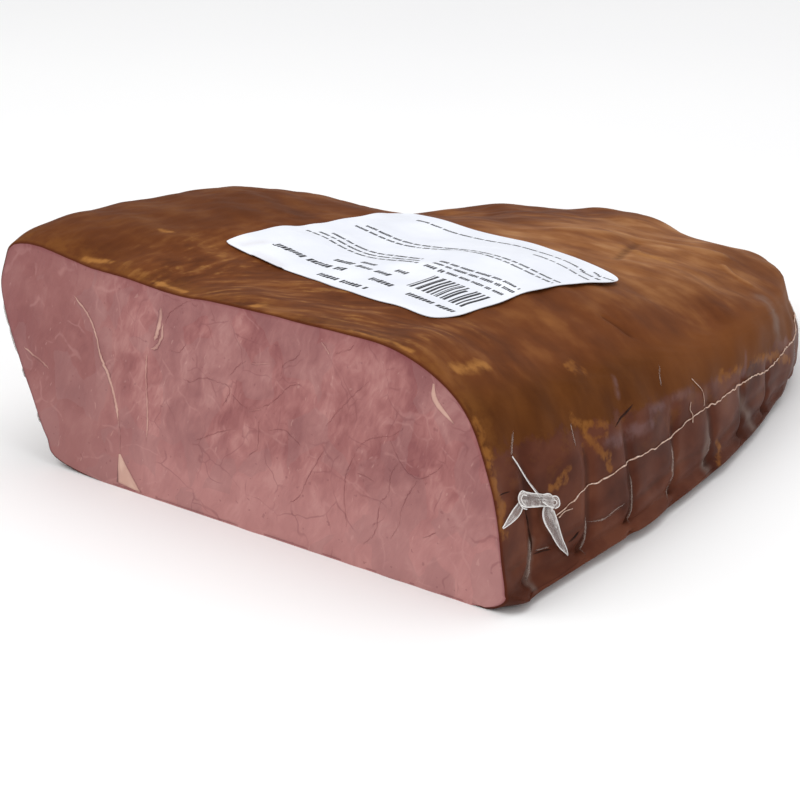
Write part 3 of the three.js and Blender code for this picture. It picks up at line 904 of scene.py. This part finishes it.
def meat_piece(skin, cut):
    """The meat, and a tree for finding its surface."""
    spots, faces, is_cut = half_box(MEAT_CELLS)
    steps = spots / np.array(MEAT_CELLS)
    place = np.stack([2 * steps[:, 0] - 1, steps[:, 1] ** CUT_CROWDING, 2 * steps[:, 2] - 1], axis=1)
    points = loaf_points(place)
    normals = point_normals(points, faces[~is_cut])
    flow = flow_of(points, normals)
    depth, groove = net_marks(points, normals, place)
    crease, ridge = crease_marks(points, normals)
    reach = np.abs(place[:, [X, Z]]).max(axis=1)
    on_cut = spots[:, 1] == 0
    tones = skin_tones(points, normals, groove, flow) | cut_tones(points)
    tones |= {"crease": crease, "ridge": ridge, "rim": rim_shade(reach, points[:, 2]) * on_cut}

    relief = skin_relief(points, normals, flow) - depth - CREASE_DEPTH * crease + RIDGE_HEIGHT * ridge
    inset = np.clip(RIM_RADIUS - points[:, 1], 0, RIM_RADIUS)
    inset = RIM_RADIUS - np.sqrt(RIM_RADIUS**2 - inset**2)
    hollow = ripples(points, HOLLOWS) * smooth(*HOLLOW_REACH, reach) * on_cut
    points = points + normals * relief[:, None] - normals * np.array([1, 0, 1]) * inset[:, None]
    points[:, 1] += hollow
    points[:, 2] = np.maximum(points[:, 2], 0)

    thing = piece("meat_body", points, faces, [skin, cut], "meat", tones)
    thing.data.polygons.foreach_set("material_index", is_cut.astype(np.int32))
    thing.data.set_sharp_from_angle(angle=SHARP_ANGLE)
    return BVHTree.FromPolygons(points.tolist(), faces.tolist())


def land(tree, start, way):
    """The first point of a surface that is met from outside, and its outward direction."""
    spot, normal, _, _ = tree.ray_cast(Vector(start), Vector(way))
    return np.array(spot), np.array(normal)


def paired(found):
    """Two arrays, of points and of directions, from pairs of them."""
    return (np.array(part) for part in zip(*found))


def wall_point(tree, y, z, stand):
    """A point that stands off the +X wall."""
    return land(tree, (FAR, y, z), LEFT)[0] + WALL_OUT * stand


def wall_line(tree, line, count, stand=WALL_STAND):
    """A curve that stands off the +X wall, through points by distance from the cut and height."""
    return np.array([wall_point(tree, y, z, stand) for y, z in curve(line, count)])


# Lines on the cut face, by X and height: width, how pale, then points
FAT_LINES = (
    (1.3, 0.8, ((-88, 73), (-85, 70), (-80, 64), (-77, 58), (-75, 51), (-72, 45))),
    (2.0, 0.85, ((-77, 58), (-75, 51), (-72, 45), (-70, 39), (-68.3, 33), (-67.5, 25))),
    (0.9, 0.4, ((-68, 30), (-67.5, 24), (-67, 13))),
    (2.4, 0.8, ((-43, 78), (-43, 74), (-45.5, 67), (-47, 64))),
    (1.8, 0.7, ((-42, 72), (-43, 66), (-46, 62), (-49, 60))),
    (1.2, 0.6, ((-51, 59), (-52, 51), (-52, 43), (-52, 31), (-53, 23))),
    (1.4, 0.7, ((-117, 46), (-112, 44), (-107, 42), (-104, 40))),
    (1.1, 0.6, ((33, 81), (35, 79), (37, 77))),
    (1.0, 0.4, ((0, 66), (3, 66), (10, 68))),
    (1.0, 0.4, ((-1, 47), (1, 48), (5, 49))),
)
# Patches of fat, each between two lines from its top to its foot: how pale, then the lines
FAT_PATCHES = (
    (1.5, ((-67.8, 14), (-69, 8), (-69.8, 2)), ((-66.6, 14), (-62.5, 8), (-56.5, 0.8))),
    (0.8, ((82, 77), (81.5, 72), (84.5, 68), (91, 64.5)), ((83, 77), (84, 72.5), (86.5, 69.5), (91.5, 65))),
)
PATCH_ROWS = 20
CRACKS = (
    ((-41, 72), (-38, 77), (-31, 82), (-26, 84)),
    ((-40, 62), (-35, 62), (-31, 66)),
    ((-33, 52), (-29, 52), (-23, 55), (-15, 55), (-11, 55), (-10, 52), (-14, 46)),
    ((-10, 59), (-5, 64), (-2, 66)),
    ((-9, 52), (-5, 49), (-2, 48)),
    ((5, 50), (11, 54), (18, 61), (23, 63)),
    ((14, 64), (16, 69), (21, 72), (24, 76)),
    ((-28, 29), (-23, 32), (-17, 35), (-10, 38)),
    ((-3, 29), (2, 33), (3, 38), (4, 45)),
    ((8, 42), (15, 44), (19, 42), (23, 40)),
    ((17, 16), (22, 20), (25, 26), (30, 35), (34, 41)),
    ((35, 50), (44, 61), (55, 72)),
    ((40, 78), (46, 81), (48, 83)),
    ((48, 44), (53, 49), (59, 52), (65, 54), (70, 58)),
    ((48, 43), (44, 34), (43, 23), (44, 14)),
    ((49, 36), (53, 36), (57, 35)),
    ((64, 52), (69, 44), (76, 41), (83, 45), (87, 49)),
    ((76, 40), (72, 34), (69, 28), (68, 22), (64, 15)),
    ((67, 44), (64, 39), (63, 32), (59, 27), (57, 16), (52, 10)),
    ((78, 19), (84, 23)),
)
CRACK_WIDTH = 0.5
LINE_FOOT = 0.4  # the least height of a line
LINE_STEP, LINE_WANDER, LEAST_STEPS = 0.8, 0.12, 8
FAT_BLUNT, CRACK_BLUNT = 0.5, 0.4
CRACK_SEED = 100
LINE_WIDTHS, LINE_TIP = (0.75, 1.2), 0.12  # shares of a line's width
# Sections of a line and of a patch: shares of the width, millimetres out of the face, shares of the value
LINE_SECTION = (
    (-0.5, -0.22, 0, 0.22, 0.5, 0),
    (0.02, 0.07, 0.1, 0.07, 0.02, -0.3),
    (0, 0.8, 1, 0.8, 0, 0),
)
PATCH_SECTION = (
    (0, 0.12, 0.3, 0.5, 0.7, 0.88, 1, 0.5),
    (0.02, 0.08, 0.1, 0.1, 0.1, 0.08, 0.02, -0.3),
    (0.15, 0.6, 1, 1, 1, 0.6, 0.15, 0),
)


def on_cut_face(tree, x, z):
    """The point of the cut face at a place on it, or none past its edge."""
    return tree.ray_cast(Vector((x, -FAR, z)), Vector(INWARD))[0]


def cut_line(heap, tree, line, width, value, blunt, seed):
    """Adds a thin line that stands a hair's breadth out of the cut face and tapers to both ends."""
    length = np.linalg.norm(np.diff(np.array(line, float), axis=0), axis=1).sum()
    count = max(LEAST_STEPS, int(length / LINE_STEP))
    draw = np.random.default_rng(seed)
    spots = curve(line, count) + draw.normal(0, LINE_WANDER, (count, 2))
    found = [on_cut_face(tree, x, z) for x, z in spots]
    path = np.array([spot for spot in found if spot is not None])
    count = len(path)
    widths = width * tapered(count, blunt, LINE_TIP) * draw.uniform(*LINE_WIDTHS, count)
    across, out, shares = np.array(LINE_SECTION)
    sections = np.stack([widths[:, None] * across, np.tile(out, (count, 1))], axis=2)
    strip(heap, path, -np.array(INWARD, float), sections, value * np.tile(shares, (count, 1)))


def fat_patch(heap, tree, value, *lines):
    """Adds a thin patch of fat that stands a hair's breadth out of the cut face."""
    left, right = (curve(line, PATCH_ROWS)[:, None] for line in lines)
    across, out, shares = np.array(PATCH_SECTION)
    spots = left * (1 - across[:, None]) + right * across[:, None]
    rings = np.zeros((PATCH_ROWS, len(across), 3))
    for row, side in np.ndindex(rings.shape[:2]):
        x, z = spots[row, side]
        spot = on_cut_face(tree, x, z)
        rings[row, side] = (x, (spot.y if spot else 0) - out[side], z)
    heap.add(rings, ring_faces(*rings.shape[:2]), value * np.tile(shares, (PATCH_ROWS, 1)))


def cut_lines(tree, cut):
    """The pale fat lines and the dark hairlines of the cut face."""
    fat = Heap()
    for seed, (width, value, line) in enumerate(FAT_LINES):
        cut_line(fat, tree, line, width, value, FAT_BLUNT, seed)
    for patch in FAT_PATCHES:
        fat_patch(fat, tree, *patch)
    for points in fat.points:
        points[:, 2] = np.maximum(points[:, 2], LINE_FOOT)
    heap_piece("fat_lines", fat, cut, attribute="fat", tones=cut_tones)
    cracks = Heap()
    for seed, line in enumerate(CRACKS):
        cut_line(cracks, tree, line, CRACK_WIDTH, 1, CRACK_BLUNT, CRACK_SEED + seed)
    heap_piece("hairlines", cracks, cut, attribute="crack", tones=cut_tones)


# The label

def label_plan(across, along):
    """Place in plan on the label for shares from -1 to 1 each way, with its corners rounded."""
    exponent = np.where((across < 0) & (along < 0), LABEL_SHARP, LABEL_ROUND)
    reach = np.maximum(np.abs(across), np.abs(along))
    size = (np.abs(across) ** exponent + np.abs(along) ** exponent) ** (1 / exponent)
    rounding = np.where(size > 0, reach / np.maximum(size, TINY), 1)
    return label_place(across * rounding, along * rounding)


def label_place(across, along):
    """Place in plan between the label's four corners for shares from -1 to 1 each way."""
    right = (1 + across)[..., None] / 2
    far = (1 + along)[..., None] / 2
    near_left, near_right, far_right, far_left = np.array(LABEL_CORNERS, float)
    near_edge = near_left * (1 - right) + near_right * right
    far_edge = far_left * (1 - right) + far_right * right
    return near_edge * (1 - far) + far_edge * far


def eased(heights, rounds):
    """Heights of a grid drawn towards their neighbours, as stiff paper does."""
    for _ in range(rounds):
        wide = np.pad(heights, 1, mode="edge")
        near = (wide[:-2, 1:-1] + wide[2:, 1:-1] + wide[1:-1, :-2] + wide[1:-1, 2:]) / 4
        heights = (heights + near) / 2
    return heights


def label_lift(x, y):
    """How far the paper rises off the skin at places in plan."""
    return LABEL_LIFT * smooth(*LABEL_LIFT_X, x) * smooth(*LABEL_LIFT_Y, y) + mound(x, y, *LABEL_BULGE)


def label_piece(meat_tree, paper):
    """The paper label on the skin, and a tree for finding its surface."""
    n = LABEL_CELLS
    shares = np.linspace(-1, 1, n + 1)
    across, along = np.meshgrid(shares, shares, indexing="ij")
    plan = label_plan(across, along)
    x, y = plan[..., 0], plan[..., 1]
    skin = np.array([[land(meat_tree, (a, b, FAR), DOWN)[0][2] for a, b in row] for row in plan])
    fold = patches(plan.reshape(-1, 2), LABEL_FOLDS).reshape(x.shape)
    dents = LABEL_FOLD_DEPTH * (LABEL_FOLD_CREST - fold) * (fold > 0)
    sheet = eased(skin, LABEL_EASING) + label_lift(x, y) + dents
    sheet = np.maximum(sheet, skin) + LABEL_GAP
    top = np.dstack([x, y, sheet + LABEL_THICKNESS]).reshape(-1, 3)
    bottom = np.dstack([x, y, sheet]).reshape(-1, 3)
    index = np.arange((n + 1) ** 2).reshape(n + 1, n + 1)
    quads = np.stack([index[:-1, :-1], index[1:, :-1], index[1:, 1:], index[:-1, 1:]], axis=-1).reshape(-1, 4)
    edge = np.concatenate([index[:-1, 0], index[-1, :-1], index[:0:-1, -1], index[0, :0:-1]])
    ahead = np.roll(edge, -1)
    below = len(top)
    sides = np.stack([edge, edge + below, ahead + below, ahead], axis=1)
    faces = np.concatenate([quads, quads[:, ::-1] + below, sides])
    points = np.vstack([top, bottom])
    tones = {"fold": np.tile(fold.ravel(), 2)}
    thing = piece("label_sheet", points, faces, [paper], "label", tones)
    thing.data.set_sharp_from_angle(angle=SHARP_ANGLE)
    return BVHTree.FromPolygons(top.tolist(), quads.tolist())


# Plain rows on the label, in millimetres from its near left corner:
# from, to, distance from the near edge, height
PRINT_ROWS = (
    (12.5, 49.5, 15.5, 3.8),
    (43.5, 67.5, 6.5, 3.2),
    (36, 64, 24.5, 3.6),
    (61.5, 72.5, 15.5, 3.2),
    (44, 52, 31, 2.6),
    (61, 67.5, 31, 3.0),
    (80.5, 104, 14.5, 3.0),
    (66, 75, 42, 2.6),
    (6, 63, 42, 1.7),
    (9, 61, 46.5, 1.7),
    (12, 58, 51, 1.7),
    (66, 104, 51, 2.0),
    (66, 104, 47, 1.9),
    (76, 103, 42.5, 1.9),
    (8, 104, 70.5, 1.6),
    (10.5, 104.5, 74.5, 1.6),
    (14.5, 95, 102.5, 1.7),
    (95, 104, 100, 2.2),
    (78, 104.5, 93, 1.6),
    (96, 105, 107, 1.7),
)
BAR_BLOCK = (75, 102.5, 20.5, 37)
BAR_STEP, BAR_FILL = 0.5, 0.8
BAR_WIDTHS, BAR_GAPS = (1, 4), (1, 3)  # in steps, the last not reached
SHORT_BARS, SHORT_BY = 0.3, 3  # share of shorter bars
# Blocks in a group, then shares of a row's height: their widths, heights and gaps, and the gap between groups
GROUP_BLOCKS = (3, 9)
BLOCK_WIDTHS, BLOCK_HEIGHTS = (0.24, 0.46), (0.75, 1)
BLOCK_GAP, GROUP_GAP = 0.15, 0.5
LABEL_WIDTH, LABEL_DEPTH = 106, 114  # its mean sizes
INK_HEIGHT, INK_STEP = 0.06, 1.5
PRINT_SEED = 7


def ink_strip(heap, tree, start, end, width):
    """Adds a thin flat bar of ink between two places in plan on the label."""
    length = math.dist(start, end)
    count = max(2, int(length / INK_STEP) + 2)
    path, out = paired([land(tree, (x, y, FAR), DOWN) for x, y in np.linspace(start, end, count)])
    corners = np.array([[-0.5, -1], [0.5, -1], [0.5, 1], [-0.5, 1]]) * (width, INK_HEIGHT)
    strip(heap, path, out, np.tile(corners, (count, 1, 1)))


def label_spot(across, along):
    """Place in plan of a place on the label, from its near left corner."""
    return label_place(np.array(2 * across / LABEL_WIDTH - 1), np.array(2 * along / LABEL_DEPTH - 1))


def print_rows(heap, tree, draw):
    """Rows of short blocks in groups."""
    for first, last, along, height in PRINT_ROWS:
        at = first
        while at < last:
            for _ in range(draw.integers(*GROUP_BLOCKS)):
                width = height * draw.uniform(*BLOCK_WIDTHS)
                if at + width > last:
                    break
                tall = height * draw.uniform(*BLOCK_HEIGHTS)
                ink_strip(heap, tree, label_spot(at, along), label_spot(at + width, along), tall)
                at += width + BLOCK_GAP * height
            at += GROUP_GAP * height


def print_bars(heap, tree, draw):
    """A block of upright bars of uneven widths."""
    first, last, near, far = BAR_BLOCK
    at = first
    while at < last:
        width = BAR_STEP * draw.integers(*BAR_WIDTHS)
        short = SHORT_BY if draw.uniform() < SHORT_BARS else 0
        ink_strip(heap, tree, label_spot(at, near), label_spot(at, far - short), BAR_FILL * width)
        at += width + BAR_STEP * draw.integers(*BAR_GAPS)


def label_print(tree, ink):
    """Plain rows of dashes and a block of bars in place of the label's words."""
    heap = Heap()
    draw = np.random.default_rng(PRINT_SEED)
    print_rows(heap, tree, draw)
    print_bars(heap, tree, draw)
    heap_piece("label_print", heap, ink)


# The string, the film knot and the film's folds

def rim_place(share):
    """Place in the half box for a share of the walls' path: +X wall to 1, end to 3, -X wall to 4."""
    if share < 1:
        return (1, share, 0)
    if share < 3:
        return (2 - share, 1, 0)
    return (-1, 4 - share, 0)


def wall_spot(tree, share, height):
    """The wall's surface at a share of the walls' path and a height, and its outward direction in plan."""
    place = np.array([rim_place(share)], float)
    for _ in range(SEARCH_ROUNDS):
        place[0, 2] += (height - loaf_points(place)[0, 2]) / (HEIGHT - WAIST)
    smooth_spot = loaf_points(place)[0]
    across, along, _ = rounded(place)[0]
    power = PLAN_EXPONENT - 1
    out_x = np.sign(across) * abs(across) ** power / (CUT_WIDTH / 2)
    out = unit(np.array([out_x, abs(along) ** power / LENGTH, 0]))
    found = tree.ray_cast(Vector(smooth_spot + out * OUTSIDE), Vector(-out))[0]
    stand = 0 if found is None else max(-STRING_SAG, (np.array(found) - smooth_spot) @ out)
    return smooth_spot + out * stand, out


def wall_path(tree, shares, heights):
    """Points of the walls at shares of their path and heights, and their outward directions."""
    return paired([wall_spot(tree, share, height) for share, height in zip(shares, heights)])


def string_piece(tree, thread):
    """The crinkled string round the walls, with its frayed branches."""
    heap = Heap()
    t = np.linspace(0, 1, STRING_STEPS)
    shares = STRING_START + (STRING_END - STRING_START) * t
    along = np.stack([t * STRING_LENGTH, 0 * t, 0 * t], axis=1)
    heights = STRING_HEIGHT - STRING_DROP * smooth(*STRING_DROP_SHARES, shares)
    heights = heights - STRING_FALL * smooth(*STRING_FALL_SHARES, shares)
    path, out = wall_path(tree, shares, heights + ripples(along, STRING_WAVES))
    radii = STRING_RADIUS * (1 + ripples(along, STRING_UNEVEN))
    strip(heap, path + out * STRING_RADIUS, out, round_sections(radii, STRING_SIDES))
    for radius, line in STRING_BRANCHES:
        branch = wall_line(tree, line, BRANCH_STEPS, radius)
        radii = radius * np.linspace(1, BRANCH_TIP, BRANCH_STEPS)
        strip(heap, branch, WALL_OUT, round_sections(radii, BRANCH_SIDES))
    heap_piece("string_thread", heap, thread, "string")


FILM_THICKNESS = 0.16
# Ribbons of the knot: number of folds, then points by distance from the cut, height, stand and width
KNOT_RIBBONS = (
    (2, ((12, 37.6, 1.6, 2.6), (14.4, 36.6, 2, 5), (20, 34.6, 1.8, 4.6), (25, 33, 2, 4), (30, 31, 1.8, 3.4))),
    (1, ((24, 34.6, 1.6, 0.9), (20.3, 41.2, 0.9, 0.6), (14.2, 51.7, 0.8, 0.4))),
    (3, ((27.2, 30.6, 1.6, 3.6), (26.6, 27, 1.8, 6.8), (29.4, 21.5, 1.6, 5.8), (33.6, 14.8, 1.2, 3.8),
         (39.8, 7.8, 0.8, 0.4))),
    (2, ((13.4, 36, 1.6, 2), (10.8, 34.2, 1.5, 3.2), (7, 33, 1.3, 2.8), (0.8, 31.5, 0.8, 0.4))),
    (2, ((23.8, 34, 2.6, 2.6), (26.8, 32.4, 2.9, 4.4), (30, 30.2, 2.4, 3))),
    (1, ((29, 32.6, 2.2, 1.2), (31.2, 31.6, 2.6, 1.6), (31.8, 29.6, 2.4, 1.6), (30, 29, 2, 1))),
    (1, ((16.4, 37.8, 2.2, 1), (13.2, 39.2, 2.6, 1.4), (11.6, 37.6, 2.6, 1.6), (13.2, 34.8, 2.2, 1.4),
         (15.7, 33.2, 2, 1))),
)
RIBBON_STEPS = 44
RIBBON_SIDES = 22
EDGE_RADIUS, EDGE_SIDES = 0.2, 6
CRUMPLE = 0.07  # height of a ribbon's folds, as a share of its width
CRUMPLE_TURN = 2.5  # how far the folds wander along it
LEAST_WIDTH = 0.4
TAUT_ROUNDS = 120  # how many times a ribbon is drawn tight over the wall's hollows
THIN_STRAND = 1.5  # a ribbon no wider than this has one rolled edge
# Milky places of a ribbon: powers that keep them to its edges and to the crests of its folds
EDGE_POWER, CREST_POWER = 8, 6
CREST_MILK, CLEARER = 0.5, 0.1  # how milky a crest is, and how much clearer the whole is


def film_ribbon(sheets, edges, tree, folds, rows):
    """Adds a folded ribbon of film and its rolled edges."""
    rows = curve(rows, RIBBON_STEPS)
    path = np.array([wall_point(tree, y, z, stand) for y, z, stand, _ in rows])
    for _ in range(TAUT_ROUNDS):
        path[1:-1, 0] = np.maximum(path[1:-1, 0], (path[:-2, 0] + path[2:, 0]) / 2)
    width = np.maximum(rows[:, 3], LEAST_WIDTH)[:, None]
    t = np.linspace(0, 1, RIBBON_STEPS)[:, None]
    angles = np.linspace(0, 2 * np.pi, RIBBON_SIDES, endpoint=False)
    side = np.cos(angles)

    def wave(side):
        return np.sin(folds * np.pi * side + CRUMPLE_TURN * t + folds)

    thick = FILM_THICKNESS / 2 * np.sin(angles)
    section = np.stack([width / 2 * side, thick + CRUMPLE * width * wave(side)], axis=2)
    milk = np.abs(side) ** EDGE_POWER + CREST_MILK * wave(side) ** CREST_POWER - CLEARER
    strip(sheets, path, WALL_OUT, section, np.clip(milk, 0, 1))
    for end in (-1, 1) if width.max() > THIN_STRAND else (1,):
        ring = round_sections(np.full(RIBBON_STEPS, EDGE_RADIUS), EDGE_SIDES)
        ring = ring + np.stack([width / 2 * end, CRUMPLE * width * wave(end)], axis=2)
        strip(edges, path, WALL_OUT, ring, np.ones(RIBBON_STEPS * EDGE_SIDES))


def film_knot(tree, clear, milky):
    """The knot of clear film, with its milky rolled edges."""
    sheets = Heap()
    edges = Heap()
    for folds, rows in KNOT_RIBBONS:
        film_ribbon(sheets, edges, tree, folds, rows)
    heap_piece("film_knot", sheets, clear, "film_tie", attribute="milk")
    heap_piece("film_knot_edges", edges, milky, attribute="milk")


# Pale folds of film on the +X wall: width, then points by distance from the cut and height
WALL_FOLDS = (
    (0.5, ((119.5, 54), (116, 49.5), (115, 46))),
    (0.6, ((51.5, 53), (50, 49), (49, 44.5))),
    (0.8, ((19.5, 59), (16, 53.7), (14.5, 51.7))),
    (0.9, ((83, 25.3), (83.5, 19), (82, 11), (78, 5.7))),
    (1.3, ((116, 25.8), (116.5, 19), (114, 9), (106.5, 5))),
    (0.8, ((148.5, 18.5), (147.5, 10.3), (141.5, 4.5))),
    (1.0, ((53, 18), (52.5, 11), (48.5, 4.5))),
    (1.4, ((19.7, 21.5), (19.3, 14), (15.5, 4.5))),
    (0.5, ((52, 16), (63, 13.7), (72, 14.4), (80, 14.4))),
    (0.5, ((21.5, 15.8), (26, 15), (30.5, 14.4))),
)
FOLD_STEPS, HIDDEN_FOLD_STEPS = 22, 16
FOLD_FEET, FOLD_TOPS, FOLD_WIDTHS = (7, 11), (19, 26), (0.6, 1.1)  # of the folds on the hidden walls
FOLD_SLANT = 0.002  # share of the walls' path for each millimetre of height
LEFT_FOLDS, HIDDEN_FOLD_SEED = 6, 17
FOLD_TAPER = (0.6, 0.15)
FOLD_SECTION = (  # shares of the width across and out of the wall, and how milky
    (-1, -0.4, 0, 0.4, 1, 0),
    (-0.05, 0.16, 0.24, 0.16, -0.05, -0.4),
    (0, 0.5, 0.8, 0.5, 0, 0),
)


def film_folds(tree, milky):
    """Low pale folds of film along the net's grooves, on the wall that shows and on the others."""
    heap = Heap()
    for width, line in WALL_FOLDS:
        fold_strip(heap, wall_line(tree, line, FOLD_STEPS), WALL_OUT, width)
    draw = np.random.default_rng(HIDDEN_FOLD_SEED)
    end_shares = [1 + 2 * (k + 0.5) / CUSHIONS_ALONG_END for k in range(CUSHIONS_ALONG_END)]
    wall_shares = [4 - (FIRST_GROOVE + k * CUSHION_LENGTH) / LENGTH for k in range(LEFT_FOLDS)]
    for share in end_shares + wall_shares:
        heights = np.linspace(draw.uniform(*FOLD_FEET), draw.uniform(*FOLD_TOPS), HIDDEN_FOLD_STEPS)
        path, out = wall_path(tree, share + FOLD_SLANT * (heights - WAIST), heights)
        fold_strip(heap, path, out, draw.uniform(*FOLD_WIDTHS))
    heap_piece("film_folds", heap, milky, attribute="milk")


def fold_strip(heap, path, out, width):
    """Adds a low tapered ridge of film."""
    taper = tapered(len(path), *FOLD_TAPER)[:, None]
    across, lift, milk = np.array(FOLD_SECTION)
    sections = np.stack([across * width * taper, lift * width * taper], axis=2)
    strip(heap, path, out, sections, milk * taper)


# Free edges of film: by heights on the -X edge of the cut,
# and by distance from the cut and height on the far wall
CUT_SLIVERS = ((62, 52), (53, 42), (37, 33), (20, 16))
FAR_SLIVERS = (((284, 24), (281, 18), (277, 13)), ((287, 17), (284, 14), (281, 11)))
SLIVER_STEPS = 14
SLIVER_WIDTH = 0.8
SLIVER_STAND = 0.3
SLIVER_INSET = 0.6  # distance from the cut


def film_slivers(tree, milky):
    """Ragged pale edges of film that stand out past the walls."""
    heap = Heap()
    shares = [4 - SLIVER_INSET / LENGTH] * SLIVER_STEPS
    for top, foot in CUT_SLIVERS:
        path, out = wall_path(tree, shares, np.linspace(top, foot, SLIVER_STEPS))
        fold_strip(heap, path, out, SLIVER_WIDTH)
    for line in FAR_SLIVERS:
        fold_strip(heap, wall_line(tree, line, SLIVER_STEPS, SLIVER_STAND), WALL_OUT, SLIVER_WIDTH)
    heap_piece("film_slivers", heap, milky, attribute="milk")


def wall_slits(tree, dark):
    """Thin dark slits in the +X wall."""
    heap = Heap()
    for width, line in WALL_SLITS:
        across, out = np.array(SLIT_SECTION)
        across = across * width * tapered(SLIT_STEPS, *SLIT_TAPER)[:, None]
        sections = np.stack([across, np.tile(out, (SLIT_STEPS, 1))], axis=2)
        strip(heap, wall_line(tree, line, SLIT_STEPS), WALL_OUT, sections)
    heap_piece("wall_slits", heap, dark)


# The studio

FLOOR_HALF = 6
SKY = 0.62
LAMPS = (  # name, place in metres, size, power
    ("key", (-0.5, -0.9, 1.3), 1.1, 9),
    ("over", (0.1, 0.3, 1.5), 1.4, 8),
    ("side", (1.4, -0.3, 0.7), 0.9, 3),
)


def aimed(data, place, way):
    """A lamp or a camera at a place in metres, looking along a way."""
    thing = bpy.data.objects.new(data.name, data)
    thing.location = place
    thing.rotation_mode = "QUATERNION"
    thing.rotation_quaternion = way.to_track_quat("-Z", "Y")
    bpy.context.scene.collection.objects.link(thing)
    return thing


def studio():
    """The floor, the lights and the soft surroundings."""
    mesh = bpy.data.meshes.new("floor")
    corners = [(x * FLOOR_HALF, y * FLOOR_HALF, 0) for x, y in ((-1, -1), (1, -1), (1, 1), (-1, 1))]
    mesh.from_pydata(corners, [], [(0, 1, 2, 3)])
    mesh.materials.append(floor_material())
    floor = bpy.data.objects.new("floor", mesh)
    bpy.context.scene.collection.objects.link(floor)

    world = bpy.data.worlds.new("studio")
    world.use_nodes = True
    sky = world.node_tree.nodes["Background"].inputs
    sky["Color"].default_value = (1, 1, 1, 1)
    sky["Strength"].default_value = SKY
    bpy.context.scene.world = world
    for name, place, size, power in LAMPS:
        data = bpy.data.lights.new(name, "AREA")
        data.size = size
        data.energy = power
        aimed(data, place, -Vector(place))
    bpy.context.scene.view_settings.view_transform = "Standard"


def camera():
    """The photograph's view."""
    turn = math.radians(CAMERA_AZIMUTH)
    rise = math.radians(CAMERA_ELEVATION)
    back = Vector((math.sin(turn) * math.cos(rise), -math.cos(turn) * math.cos(rise), math.sin(rise)))
    data = bpy.data.cameras.new("camera")
    data.lens = CAMERA_LENS
    data.clip_end = CAMERA_REACH
    place = Vector(to_row(CAMERA_TARGET)) + back * CAMERA_DISTANCE * MM
    bpy.context.scene.camera = aimed(data, place, -back)


def build():
    """Everything in the scene."""
    camera()
    studio()
    cut = cut_material()
    meat_tree = meat_piece(skin_material(), cut)
    cut_lines(meat_tree, cut)
    label_tree = label_piece(meat_tree, paper_material())
    label_print(label_tree, ink_material())
    string_piece(meat_tree, string_material())
    milky = film_material("milky_film", 0.35, 0.95, (218, 211, 207))
    film_knot(meat_tree, film_material("clear_film", 0.18, 0.9, (206, 197, 194)), milky)
    film_slivers(meat_tree, milky)
    film_folds(meat_tree, film_material("film_fold", 0, 0.6, (128, 106, 97), (178, 158, 148), 0.1))
    wall_slits(meat_tree, slit_material())


build()
